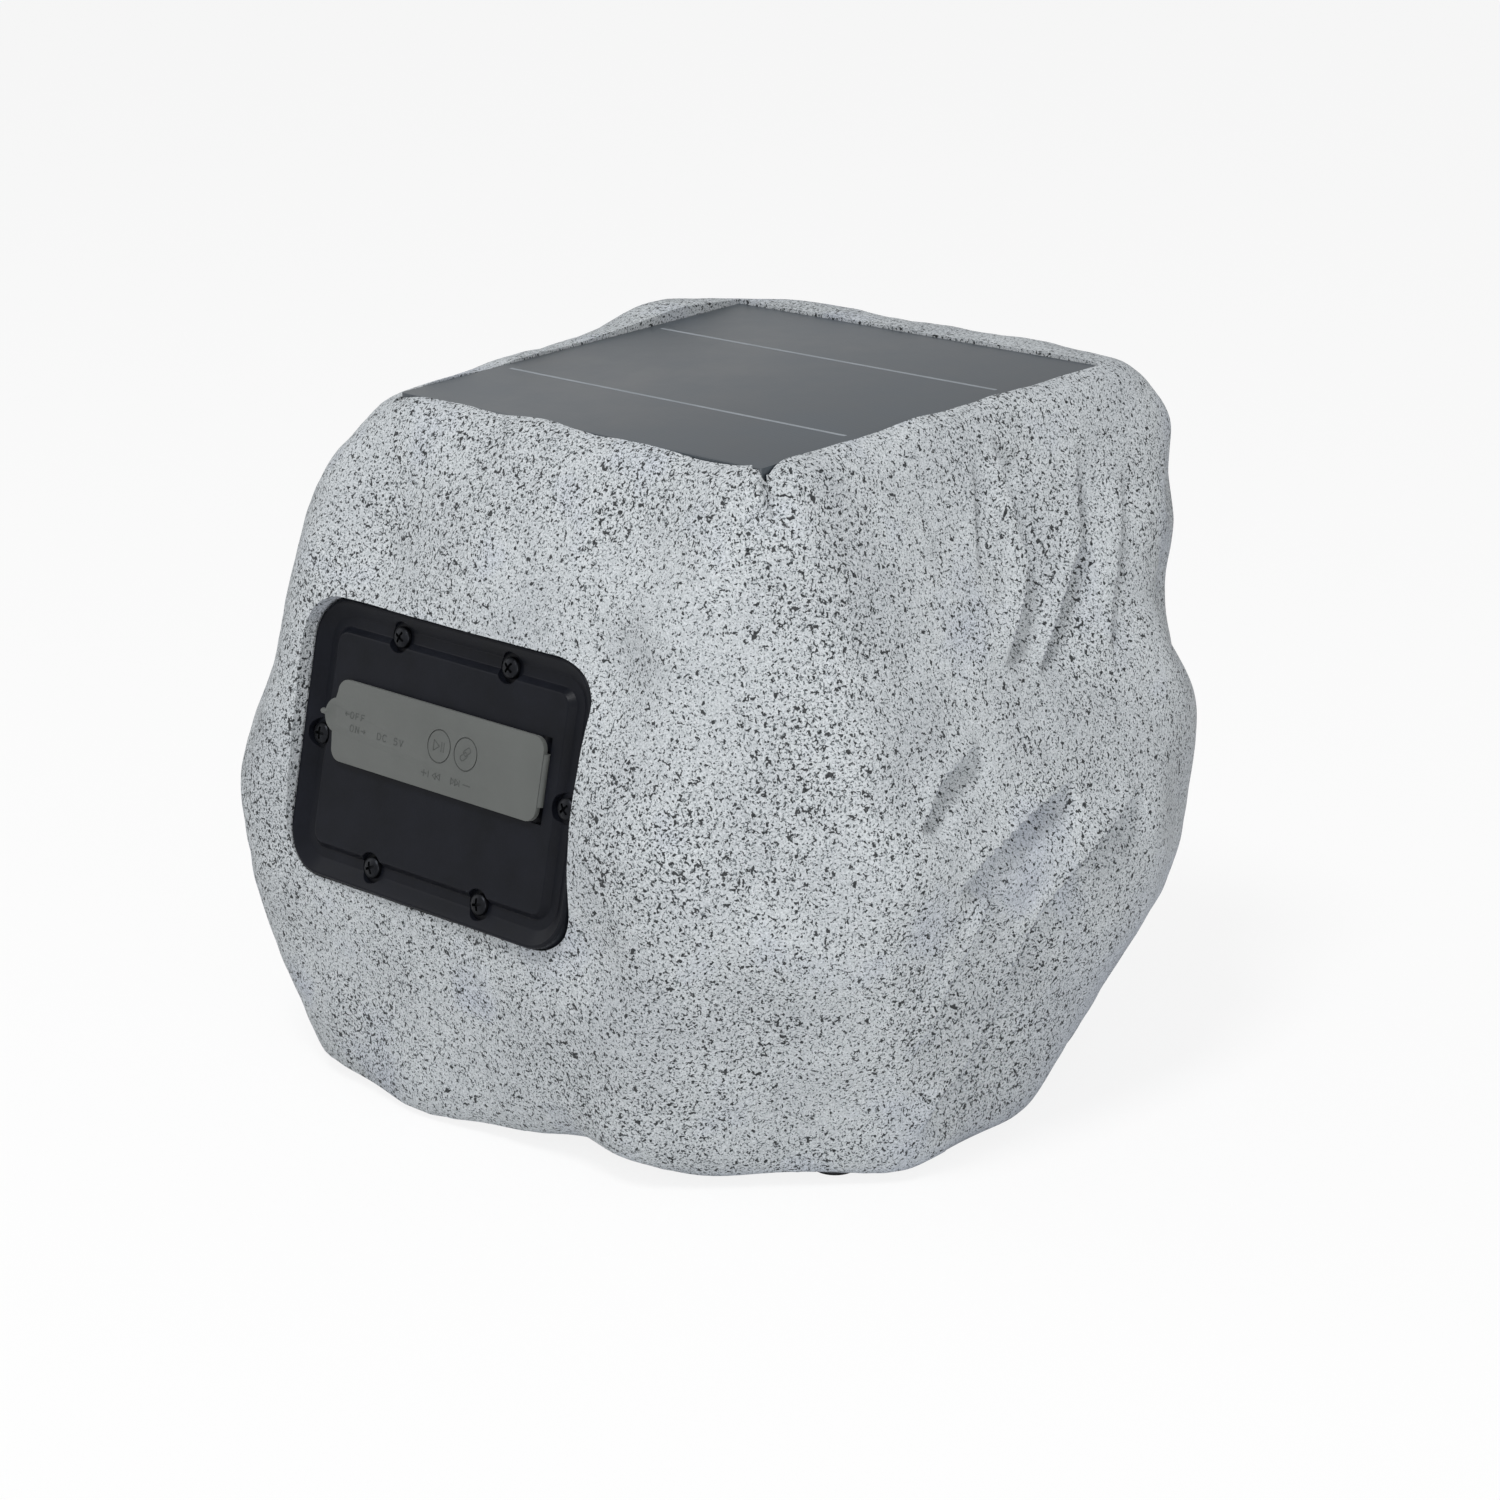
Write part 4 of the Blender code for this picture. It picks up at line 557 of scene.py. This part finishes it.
def facet_planes(inset, top_inset, under_inset):
    """Normals and distances of every facet, moved inwards by the wall."""
    corners = []
    for sx in (-1, 1):
        for sy in (-1, 1):
            y = sy * PANEL_DEPTH / 2
            corners.append(np.array((sx * PANEL_WIDTH / 2, y,
                                     PANEL_TOP - y * tan(PANEL_TILT) - ROCK_MIDDLE.z)))
    normals, distances = [], []
    for turn, tilt, distance in FACETS:
        normals.append(unit(turn, tilt))
        distances.append(distance * MM - inset)
    for turn, tilt, lip in RIM_FACETS:
        normal = unit(turn, tilt)
        normals.append(normal)
        distances.append(max(normal @ corner for corner in corners) + lip * MM - inset)
    normals.append(unit(90.0, 90.0 - PANEL_TILT * 180.0 / pi))
    distances.append((PANEL_TOP - ROCK_MIDDLE.z) * cos(PANEL_TILT) + PANEL_SUNK - top_inset)
    normals.append(unit(0.0, -90.0))
    distances.append(ROCK_MIDDLE.z - ROCK_LIFT - under_inset)
    return np.array(normals), np.array(distances)


def eased(share):
    """A share from 0 to 1 that starts and ends gently."""
    share = np.clip(share, 0.0, 1.0)
    return share * share * (3.0 - 2.0 * share)


def fold_depth(points, path, run_out, depth):
    """A groove along a path: raised edge, steep side, gentle way back; it fades at its ends."""
    legs = [(np.array(a) * MM, np.array(b) * MM) for a, b in zip(path[:-1], path[1:])]
    lengths = [np.linalg.norm(b - a) for a, b in legs]
    nearest = np.full(len(points), np.inf)
    side = np.zeros(len(points))
    run = np.zeros(len(points))
    before = 0.0
    for (a, b), length in zip(legs, lengths):
        along = np.clip((points - a) @ (b - a) / length ** 2, 0.0, 1.0)
        away = points - a - along[:, None] * (b - a)
        reach = np.sqrt((away * away).sum(axis=1))
        over = np.cross((a + b) / 2 - np.array(ROCK_MIDDLE), (b - a) / length)
        over /= np.linalg.norm(over)
        closer = reach < nearest
        nearest = np.where(closer, reach, nearest)
        side = np.where(closer, away @ over, side)
        run = np.where(closer, (before + along * length) / sum(lengths), run)
        before += length
    drop = eased(side / EDGE_DROP)
    back = np.exp(-(np.maximum(nearest - EDGE_DROP, 0.0) / (run_out * MM)) ** BACK_CURVE)
    lip = EDGE_LIP * np.exp(-(nearest / LIP_REACH) ** 2)
    fade = eased(np.minimum(run / FADE_IN, (1.0 - run) / FADE_OUT))
    return FOLD_GAIN * depth * MM * fade * (drop * back - (1.0 - drop) * lip)


def rock_field(points, planes, carved):
    """Below zero inside the boulder, above zero outside it."""
    normals, distances = planes
    height = (points - np.array(ROCK_MIDDLE)) @ normals.T - distances
    top = height.max(axis=1)
    field = top + FACET_BLEND * np.log(np.exp((height - top[:, None]) / FACET_BLEND).sum(axis=1))
    for place, size, depth in HOLLOWS:
        if carved or depth * MM > DEEP_HOLLOW:
            away = points - np.array(place) * MM
            field += depth * MM * np.exp(-(away * away).sum(axis=1) / (2.0 * (size * MM) ** 2))
    if carved:
        for path, run_out, depth in FOLDS:
            field += fold_depth(points, path, run_out, depth)
        # the underside stays level
        field = np.maximum(field, ROCK_LIFT - points[:, 2])
    return field


def rock_points(directions, planes, carved):
    middle = np.array(ROCK_MIDDLE)
    low = np.full(len(directions), SEARCH_FROM)
    high = np.full(len(directions), SEARCH_TO)
    for _ in range(HALVINGS):
        reach = (low + high) / 2
        outside = rock_field(middle + directions * reach[:, None], planes, carved) > 0.0
        high = np.where(outside, reach, high)
        low = np.where(outside, low, reach)
    return middle + directions * ((low + high) / 2)[:, None]


def cube_grid(counts):
    """Directions through a cube divided by a count along each axis, and its quads."""
    ticks = [np.tan(np.linspace(-1.0, 1.0, count + 1) * pi / 4) for count in counts]
    found, points, quads = {}, [], []
    for axis in range(3):
        u, v = (axis + 1) % 3, (axis + 2) % 3
        for side in (0, counts[axis]):
            for i in range(counts[u]):
                for j in range(counts[v]):
                    quad = []
                    for across, along in ((i, j), (i + 1, j), (i + 1, j + 1), (i, j + 1)):
                        key = [0, 0, 0]
                        key[axis], key[u], key[v] = side, across, along
                        key = tuple(key)
                        if key not in found:
                            found[key] = len(points)
                            points.append([ticks[a][key[a]] for a in range(3)])
                        quad.append(found[key])
                    quads.append(quad if side else quad[::-1])
    points = np.array(points)
    return points / np.linalg.norm(points, axis=1)[:, None], quads


def rock_mesh(name, cuts, planes, carved):
    """A divided cube pushed out to the boulder's surface."""
    directions, quads = cube_grid(cuts)
    places = rock_points(directions, planes, carved)
    if carved:
        for index, way in enumerate(directions):
            if places[index][2] > LEVEL_BELOW:
                at = Vector(places[index])
                lump = noise.noise(at / LUMP_SIZE) * LUMP_HEIGHT
                places[index] += way * (lump + noise.noise(at / PIT_SIZE) * PIT_HEIGHT)
    mesh = bpy.data.meshes.new(name)
    mesh.from_pydata(places.tolist(), [], quads)
    return placed(linked(bpy.data.objects.new(name, mesh)), ORIGIN)


def plate_ledge():
    return -PLATE_THICK - GASKET_THICK - 2 * GAP


def panel_floor():
    return -PANEL_THICK - TAPE_THICK - 2 * GAP


def recess_outline():
    x, y = PANEL_WIDTH / 2, PANEL_DEPTH / 2
    entry = asin(FIT / NOTCH_RADIUS)
    right = arc((x, y), NOTCH_RADIUS, entry - pi / 2, pi - entry, 24)
    left = [(-px, py) for px, py in reversed(right)]
    return right + left + [(-x - FIT, -y - FIT), (x + FIT, -y - FIT)]


def cutters(matrix, *solids):
    return [placed(solid, matrix) for solid in solids]


def rock_cutters():
    ledge = plate_ledge()
    made = cutters(
        PANEL, slab("panel_recess", [recess_outline()], panel_floor(), FAR),
        slab("panel_window", [rounded(PANEL_WIDTH - 2 * PANEL_LEDGE, PANEL_DEPTH - 2 * PANEL_LEDGE,
                                      6 * MM)], -TOP_WALL - 6 * MM, panel_floor() + 3 * MM))
    made += cutters(
        PLATE, slab("plate_pocket", [rounded(PLATE_WIDTH + 2 * FIT, PLATE_HEIGHT + 2 * FIT,
                                             PLATE_CORNER + FIT, steps=14)], ledge, FAR),
        slab("plate_window", [rounded(PLATE_WIDTH - 2 * PLATE_LEDGE,
                                      PLATE_HEIGHT - 2 * PLATE_LEDGE, 4 * MM)],
             ledge - LEDGE_THICK - 12 * MM, ledge + 2 * MM))
    made += cutters(
        SPEAKER, slab("grille_pocket", [circle(GRILLE_RADIUS + FIT, sides=96)], -GRILLE_SUNK, FAR),
        slab("driver_pocket", [circle(DRIVER_RADIUS + FIT, sides=48)], -DRIVER_SEAT,
             2 * MM - GRILLE_SUNK),
        slab("baffle_hole", [circle(BASKET_MOUTH + FIT, sides=48)],
             -DRIVER_SEAT - LEDGE_THICK - 12 * MM, 2 * MM - DRIVER_SEAT))
    rebate = ROCK_LIFT + BASE_THICK + 2 * GAP
    made += cutters(
        ORIGIN, slab("base_rebate", [rounded(BASE_WIDTH + 2 * FIT, BASE_DEPTH + 2 * FIT,
                                             BASE_CORNER + FIT)], -6 * MM, rebate),
        slab("base_opening", [rounded(BASE_WIDTH - 2 * BASE_LEDGE, BASE_DEPTH - 2 * BASE_LEDGE,
                                      BASE_CORNER / 2)], rebate - 1.5 * MM, UNDER_WALL + 12 * MM))
    floor = ROCK_LIFT + FOOT_RECESS
    for x, y in FOOT_PLACES:
        seat = turned("foot_seat", [
            (0.0, floor + PEG_LENGTH + GAP), (PEG_RADIUS + GAP, floor + PEG_LENGTH + GAP),
            (PEG_RADIUS + GAP, floor), (FOOT_RADIUS + GAP, floor), (FOOT_RADIUS + GAP, -6 * MM),
            (0.0, -6 * MM)])
        made += cutters(ORIGIN @ Matrix.Translation((x, y, 0.0)), seat)
    return made


def boulder():
    shell = rock_mesh("boulder_shell", OUTER_CUTS, facet_planes(0.0, 0.0, 0.0), True)
    cavity = rock_mesh("boulder_cavity", INNER_CUTS,
                       facet_planes(WALL + FOLD_ROOM, TOP_WALL, UNDER_WALL), False)
    plate_block = slab("plate_block", [rounded(PLATE_WIDTH + 2 * WALL, PLATE_HEIGHT + 2 * WALL,
                                               PLATE_CORNER + WALL)],
                       plate_ledge() - LEDGE_THICK, FAR)
    driver_block = slab("driver_block", [circle(GRILLE_RADIUS + WALL, sides=48)],
                        -DRIVER_SEAT - LEDGE_THICK, FAR)
    cavity = cut(cavity, cutters(PLATE, plate_block) + cutters(SPEAKER, driver_block))
    shell = cut(shell, [cavity] + rock_cutters())
    return stands_for(shell, "speaker", "cast_stone_resin", "rock_shell", sharp_above=48.0)


# Solar panel

def solar_panel():
    glass = bevelled(slab("solar_laminate", [rounded(PANEL_WIDTH, PANEL_DEPTH, PANEL_CORNER)],
                          -PANEL_THICK, 0.0), 0.3 * MM)
    stands_for(placed(glass, PANEL), "speaker", "panel_laminate", "solar_panel")
    start, end = RIBBON_ENDS
    for name, y in (("front_ribbon", RIBBON_Y), ("back_ribbon", -RIBBON_Y)):
        strip = slab(name, [rounded(end - start, RIBBON_WIDTH, 0.3 * MM,
                                    ((start + end) / 2, y), 3)], -0.05 * MM, 0.03 * MM)
        placed(strip, PANEL)
        strip.data.materials.append(worn("tinned_ribbon", "#757C82", "#8B9197", 9.0, 0.5,
                                         (0.45, 0.6), 0.01))
        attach(strip, "speaker")


# Control plate, its border in steps from the outside in, and its screws

def stepped_plate():
    rows = [(0.0, -PLATE_THICK)] + [(inset * MM, level * MM) for inset, level in BORDER_STEPS]
    body = bmesh.new()
    previous = None
    for index, (inset, level) in enumerate(rows):
        outline = rounded(PLATE_WIDTH - 2 * inset, PLATE_HEIGHT - 2 * inset, PLATE_CORNER - inset,
                          steps=14)
        verts = [body.verts.new((x, y, level)) for x, y in outline]
        if index in (0, len(rows) - 1):
            body.faces.new(verts)
        if previous:
            for i in range(len(verts)):
                body.faces.new((previous[i - 1], previous[i], verts[i], verts[i - 1]))
        previous = verts
    return from_bmesh("control_plate_fine", body)


def control_plate():
    plate = stepped_plate()
    housing = slab("housing", [rounded(POCKET_WIDTH + 2 * POCKET_WALL,
                                       POCKET_HEIGHT + 2 * POCKET_WALL, 3.5 * MM,
                                       (POCKET_SHIFT, COVER_RISE))],
                   -POCKET_DEPTH - POCKET_WALL, -PLATE_THICK / 2)
    posts = gathered("posts", [slab("post", [circle(POST_RADIUS, place)], GAP - BOARD_BEHIND,
                                    -PLATE_THICK / 2) for place in BOARD_HOLES])
    row = COVER_RISE + KEYS_RISE
    pocket = slab("pocket", [rounded(POCKET_WIDTH, POCKET_HEIGHT, 2 * MM,
                                     (POCKET_SHIFT, COVER_RISE))], -POCKET_DEPTH, 6 * MM)
    low, high = -POCKET_DEPTH - POCKET_WALL - 1.5 * MM, 1.5 * MM - POCKET_DEPTH
    openings = [slab("hole", [outline], low, high) for outline in (
        rounded(9.6 * MM, 5.0 * MM, 0.5 * MM, (SWITCH_AT, row)),
        rounded(9.6 * MM, 3.9 * MM, 1.85 * MM, (SOCKET_AT, row)),
        circle(3.2 * MM, (KEY_AT[0], row)), circle(3.2 * MM, (KEY_AT[1], row)))]
    seats = []
    for x, y in SCREW_PLACES:
        seat = turned("seat", [
            (0.0, 6 * MM), (SEAT_RADIUS + 0.35 * MM, 6 * MM), (SEAT_RADIUS + 0.35 * MM, 0.62 * MM),
            (SEAT_RADIUS, 0.1 * MM), (SEAT_RADIUS, -SEAT_DEPTH), (SCREW_SHANK + GAP, -SEAT_DEPTH),
            (SCREW_SHANK + GAP, -PLATE_THICK - 6 * MM), (0.0, -PLATE_THICK - 6 * MM)], 40)
        seats.append(placed(seat, Matrix.Translation((x, y, 0.0))))
    half = COVER_HEIGHT / 2 + GAP
    trough = slab("trough", [circle(BEAD_RADIUS + GAP)], -half, half)
    trough.data.transform(Matrix.Rotation(radians(90), 4, "X"))
    placed(trough, Matrix.Translation((COVER_WIDTH / 2 - BEAD_RADIUS, COVER_RISE,
                                       GAP + COVER_THICK - BEAD_RADIUS)))
    plate = cut(plate, [pocket, gathered("openings", openings), gathered("seats", seats), trough],
                added=[housing, posts])
    stands_for(placed(plate, PLATE), "speaker", "black_abs", "control_plate", sharp_above=11.0)


def plate_screws():
    """Pan heads with a cross recess."""
    low = GAP - SEAT_DEPTH
    length = SCREW_BITE - plate_ledge() - SEAT_DEPTH
    for index, (x, y) in enumerate(SCREW_PLACES):
        dome = [(SCREW_HEAD * sin(radians(a)), SCREW_HIGH * (0.35 + 0.65 * cos(radians(a))))
                for a in (0, 14, 28, 42, 56, 70, 82, 90)]
        screw = turned("plate_cross_screw_%d" % (index + 1), dome + [
            (SCREW_HEAD, 0.0), (SCREW_SHANK, 0.0), (SCREW_SHANK, 1.0 * MM - length),
            (0.0, -length)])
        arms = [slab("arm", [rounded(width, height, 0.2 * MM, steps=3)], SCREW_HIGH - 1.05 * MM,
                     SCREW_HIGH + MM)
                for width, height in ((0.75 * MM, 3.4 * MM), (3.4 * MM, 0.75 * MM))]
        screw = cut(screw, arms)
        spin = Matrix.Rotation(0.4 + 0.7 * index, 4, "Z")
        placed(screw, PLATE @ Matrix.Translation((x, y, low)) @ spin)
        stands_for(screw, "speaker", "black_steel", "plate_screw_%d" % (index + 1))


# Port cover, drawn in the plate's frame

def cover_outline():
    """Rounded rectangle with a half round pull tab."""
    x, y, corner = COVER_WIDTH / 2, COVER_HEIGHT / 2, COVER_CORNER
    swing = radians(77.0)
    right = x - BEAD_RADIUS + 0.9 * MM      # within the bead's round, so that it turns freely
    points = arc((right - corner, corner - y), corner, -pi / 2, 0.0, 10)
    points += arc((right - corner, y - corner), corner, 0.0, pi / 2, 10)
    points += arc((corner - x, y - corner), corner, pi / 2, pi, 10)
    points += arc((0.5 * MM - x, KEYS_RISE), TAB_RADIUS, pi - swing, pi + swing, 24)
    points += arc((corner - x, corner - y), corner, pi, 1.5 * pi, 10)
    return [(px, py + COVER_RISE) for px, py in points]


def port_cover():
    low, high = GAP, GAP + COVER_THICK
    cover = bevelled(slab("port_cover_fine", [cover_outline()], low, high), 0.28 * MM, 3)
    x, row = COVER_WIDTH / 2, COVER_RISE + KEYS_RISE
    width, height = POCKET_WIDTH - 2 * FIT, POCKET_HEIGHT - 2 * FIT
    middle = (POCKET_SHIFT, COVER_RISE)
    seal = slab("seal", [rounded(width, height, 1.8 * MM, middle),
                         rounded(width - 2.8 * MM, height - 2.8 * MM, 0.6 * MM, middle)],
                low - 1.4 * MM, low + COVER_THICK / 2)
    bead = slab("bead", [circle(BEAD_RADIUS)], 0.6 * MM - COVER_HEIGHT / 2 + COVER_CORNER,
                COVER_HEIGHT / 2 - COVER_CORNER - 0.6 * MM)
    bead.data.transform(Matrix.Rotation(radians(90), 4, "X"))
    placed(bead, Matrix.Translation((x - BEAD_RADIUS, COVER_RISE, high - BEAD_RADIUS - 0.02 * MM)))
    nub = turned("nub", [(0.0, 1.3 * MM), (0.55 * MM, 1.15 * MM), (0.8 * MM, 0.7 * MM),
                         (0.8 * MM, -1.7 * MM), (0.0, -1.7 * MM)], 20)
    nub.data.transform(Matrix.Rotation(radians(-90), 4, "Y"))
    placed(nub, Matrix.Translation((-x - TAB_RADIUS - 0.45 * MM, row, (low + high) / 2)))
    cover = cut(cover, added=[seal, bead, nub])
    # the two keys stand a little proud inside a moulded groove, the tab has a thumb dimple
    grooves = [turned("ring_groove", [
        (KEY_RADIUS + 0.22 * MM, high + MM), (KEY_RADIUS + 0.16 * MM, high - 0.3 * MM),
        (KEY_RADIUS - 0.16 * MM, high - 0.3 * MM), (KEY_RADIUS - 0.22 * MM, high + MM)], 56)
               for _ in KEY_AT]
    for groove, key_x in zip(grooves, KEY_AT):
        placed(groove, Matrix.Translation((key_x, row, 0.0)))
    dimple = turned("dimple", [(0.0, high + MM), (2.6 * MM, high + MM), (2.6 * MM, high),
                               (1.9 * MM, high - 0.35 * MM), (0.0, high - 0.45 * MM)])
    placed(dimple, Matrix.Translation((-x - 1.2 * MM, row, 0.0)))
    cover = cut(cover, [gathered("grooves", grooves), dimple])
    stands_for(placed(cover, PLATE), "cover", "grey_silicone", "port_cover")
    cover_marks(high)


LETTERS = {
    "O": [([(0.25, 0), (0.75, 0), (1, 0.25), (1, 0.75), (0.75, 1), (0.25, 1), (0, 0.75),
            (0, 0.25)], True)],
    "F": [([(0, 0), (0, 1), (0.95, 1)], False), ([(0, 0.52), (0.75, 0.52)], False)],
    "N": [([(0, 0), (0, 1), (1, 0), (1, 1)], False)],
    "D": [([(0, 0), (0, 1), (0.65, 1), (1, 0.72), (1, 0.28), (0.65, 0)], True)],
    "C": [([(1, 0.85), (0.75, 1), (0.25, 1), (0, 0.75), (0, 0.25), (0.25, 0), (0.75, 0),
            (1, 0.15)], False)],
    "5": [([(0.95, 1), (0.1, 1), (0.05, 0.56), (0.65, 0.6), (1, 0.38), (0.95, 0.12), (0.65, 0),
            (0, 0.04)], False)],
    "V": [([(0, 1), (0.5, 0), (1, 1)], False)],
    "+": [([(0, 0.5), (1.1, 0.5)], False), ([(0.55, 0), (0.55, 1)], False)],
    "-": [([(0, 0.5), (1.5, 0.5)], False)],
    "<": [([(0.75, 0), (0, 0.5), (0.75, 1)], True)],
    ">": [([(0, 0), (0.75, 0.5), (0, 1)], True)],
    "|": [([(0, 0), (0, 1)], False)],
    "{": [([(1.3, 0.5), (0, 0.5)], False), ([(0.45, 0.2), (0, 0.5), (0.45, 0.8)], False)],
    "}": [([(0, 0.5), (1.3, 0.5)], False), ([(0.85, 0.2), (1.3, 0.5), (0.85, 0.8)], False)],
    " ": [],
}


# The switch's two ends, the socket's supply, louder, back, on and softer: characters, left end,
# base above the cover's middle, width and pitch in millimetres
MARKS = (
    ("{OFF", -36.2, 1.3, 1.25, 2.15), ("ON}", -33.6, -2.1, 1.25, 2.2),
    ("DC 5V", -22.6, -2.1, 1.3, 2.2), ("+", -4.2, -7.7, 1.9, 0.0), ("|<<", -1.4, -7.7, 1.7, 1.6),
    (">>|", 7.4, -7.7, 1.7, 1.6), ("-", 12.0, -7.7, 1.8, 0.0),
)
MARK_HEIGHT = 1.7 * MM


def written(words, left, base, width, pitch):
    """The strokes of a row of characters."""
    paths = []
    for index, letter in enumerate(words):
        for points, closed in LETTERS[letter]:
            paths.append(([(left + index * pitch + x * width, base + y * MARK_HEIGHT)
                           for x, y in points], closed))
    return paths


def cover_marks(level):
    """Generic marks in thin raised strokes, drawn darker than the cover as painted shade."""
    paths = []
    for words, left, base, width, pitch in MARKS:
        paths += written(words, left * MM, COVER_RISE + base * MM, width * MM, pitch * MM)
    # left key: play and pause; right key: two links of a chain, for pairing
    key = COVER_RISE + KEYS_RISE
    x = KEY_AT[0]
    paths.append(([(x - 2.0 * MM, key - 1.4 * MM), (x + 0.1 * MM, key),
                   (x - 2.0 * MM, key + 1.4 * MM)], True))
    paths += [([(x + dx * MM, key - 1.3 * MM), (x + dx * MM, key + 1.3 * MM)], False)
              for dx in (0.95, 1.9)]
    x = KEY_AT[1]
    turn = Matrix.Rotation(radians(40), 2)
    for shift in (-0.85, 0.85):
        link = rounded(2.7 * MM, 1.5 * MM, 0.6 * MM, (shift * MM, shift * 0.25 * MM), 3)
        paths.append(([(x + p.x, key + p.y) for p in (turn @ Vector(q) for q in link)], True))
    marks = stroke("cover_marks", paths, 0.13 * MM, PLATE @ Matrix.Translation((0, 0, level)))
    # the strokes' darker grey is painted shade along the raised marks
    marks.data.materials.append(worn("silicone_marks_painted_shade", "#3E4140", "#484B49", 4.0, 0.4,
                                     (0.6, 0.75), 0.02))
    smooth(marks)
    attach(marks, "cover")


# Grille with its trim ring

def hole_places(free):
    step = HOLE_PITCH * sqrt(3) / 2
    rows = int(free / step) + 1
    places = []
    for row in range(-rows, rows + 1):
        for column in range(-rows - 2, rows + 3):
            x, y = (column + 0.5 * (row % 2)) * HOLE_PITCH, row * step
            if x * x + y * y <= free * free:
                places.append((x, y))
    return places


def grille():
    low = GAP - GRILLE_SUNK
    high = low + GRILLE_THICK
    inner = GRILLE_RADIUS - RING_WIDTH
    sheet = slab("perforated_grille", [circle(GRILLE_RADIUS, sides=96)] + [
        circle(HOLE_RADIUS, place, 10) for place in hole_places(inner - HOLE_RADIUS - 0.5 * MM)],
                 low, high)
    stands_for(placed(sheet, SPEAKER), "speaker", "black_steel", "grille")
    base = high + GAP
    top = base + RING_HEIGHT
    corner = [(GRILLE_RADIUS - 1.1 * MM + 1.1 * MM * sin(radians(a)),
               top - 1.1 * MM + 1.1 * MM * cos(radians(a))) for a in (0, 22, 45, 67, 90)]
    slope = [(inner, top - 1.5 * MM), (inner + 0.25 * MM, top - 1.0 * MM),
             (inner + 1.3 * MM, top - 0.15 * MM), (inner + 2.0 * MM, top)]
    ring = turned("grille_trim_ring", slope + corner + [(GRILLE_RADIUS, base), (inner, base)], 112)
    stands_for(placed(ring, SPEAKER), "speaker", "black_abs", "grille_ring")


def feet():
    floor = ROCK_LIFT + FOOT_RECESS
    for index, (x, y) in enumerate(FOOT_PLACES):
        edge = [(FOOT_RADIUS - FOOT_EDGE + FOOT_EDGE * sin(radians(a)),
                 FOOT_EDGE - FOOT_EDGE * cos(radians(a))) for a in (90, 67, 45, 22, 0)]
        foot = turned("rubber_foot_%d" % (index + 1), [
            (0.0, floor + PEG_LENGTH), (PEG_RADIUS, floor + PEG_LENGTH), (PEG_RADIUS, floor - GAP),
            (FOOT_RADIUS, floor - GAP)] + edge + [(0.0, 0.0)], 40)
        placed(foot, ORIGIN @ Matrix.Translation((x, y, 0.0)))
        stands_for(foot, "speaker", "rubber", "foot_%d" % (index + 1))


# Stage, camera and light

def stage():
    floor = bmesh.new()
    bmesh.ops.create_grid(floor, x_segments=8, y_segments=8, size=6.0)
    floor = from_bmesh("studio_floor", floor)
    made, tree, shader = blank("white_paper_floor", Roughness=0.9)
    paper = add(tree, "ShaderNodeTexNoise", {"Vector": place_of(tree), "Scale": 2.0})
    tone = ramp(tree, paper.outputs["Fac"], [(0.3, grey(0.86)), (0.7, grey(0.88))])
    tree.links.new(tone, shader.inputs["Base Color"])
    glow = add(tree, "ShaderNodeEmission", {"Color": grey(1.0), "Strength": 1.0})
    rays = add(tree, "ShaderNodeLightPath")
    seen = calc(tree, "MULTIPLY", rays.outputs["Is Camera Ray"], FLOOR_GLOW)
    mix = add(tree, "ShaderNodeMixShader", {0: seen, 1: shader.outputs[0], 2: glow.outputs[0]})
    tree.links.new(mix.outputs[0], tree.nodes["Material Output"].inputs["Surface"])
    floor.data.materials.append(made)


def sky():
    world = bpy.data.worlds.new("studio")
    bpy.context.scene.world = world
    world.use_nodes = True
    tree = world.node_tree
    rays = add(tree, "ShaderNodeLightPath")
    shown = calc(tree, "MAXIMUM", rays.outputs["Is Camera Ray"], calc(
        tree, "MULTIPLY", rays.outputs["Is Glossy Ray"], SKY_SHEEN))
    strength = mapped(tree, shown, 0.0, 1.0, WORLD_LIGHT, 1.0)
    background = tree.nodes["Background"]
    background.inputs["Color"].default_value = grey(1.0)
    tree.links.new(strength, background.inputs["Strength"])


def lamp(name, at, target, size, watts):
    data = bpy.data.lights.new(name, "AREA")
    data.shape, data.size, data.energy = "DISK", size, watts
    made = linked(bpy.data.objects.new(name, data))
    made.location = at
    made.rotation_euler = (Vector(target) - Vector(at)).to_track_quat("-Z", "Y").to_euler()


def camera():
    data = bpy.data.cameras.new("camera")
    data.lens, data.sensor_width, data.clip_start = CAMERA_LENS, 36.0, 0.05
    made = linked(bpy.data.objects.new("camera", data))
    made.location = CAMERA_AT
    made.rotation_euler = (pi / 2 - CAMERA_TILT, 0.0, CAMERA_TURN)
    bpy.context.scene.camera = made


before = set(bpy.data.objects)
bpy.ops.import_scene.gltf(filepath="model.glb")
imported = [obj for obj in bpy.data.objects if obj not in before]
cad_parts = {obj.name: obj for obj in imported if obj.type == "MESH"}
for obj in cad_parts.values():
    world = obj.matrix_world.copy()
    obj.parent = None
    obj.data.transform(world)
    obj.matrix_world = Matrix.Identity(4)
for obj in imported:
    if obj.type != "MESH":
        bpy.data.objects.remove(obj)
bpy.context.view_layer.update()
camera()
stage()
sky()
lamp("soft_key", (-0.3, 0.9, 1.65), (0.0, 0.0, 0.1), 0.5, KEY_WATTS)
lamp("side_fill", (1.3, 0.8, 0.7), (0.0, 0.0, 0.1), 1.0, FILL_WATTS)
lamp("floor_bounce", (-1.15, 0.5, 0.15), (0.0, 0.0, 0.08), 0.8, BOUNCE_WATTS)
bpy.context.scene.view_settings.view_transform = "Standard"

FINISHES = make_finishes()
for cad_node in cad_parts.values():
    slot_name = next((slot.material.name.split(".")[0] for slot in cad_node.material_slots
                      if slot.material), "")
    finish_name = slot_name if slot_name in FINISHES else "black_abs"
    dressed(cad_node, finish_name)

boulder()
solar_panel()
control_plate()
plate_screws()
port_cover()
grille()
feet()
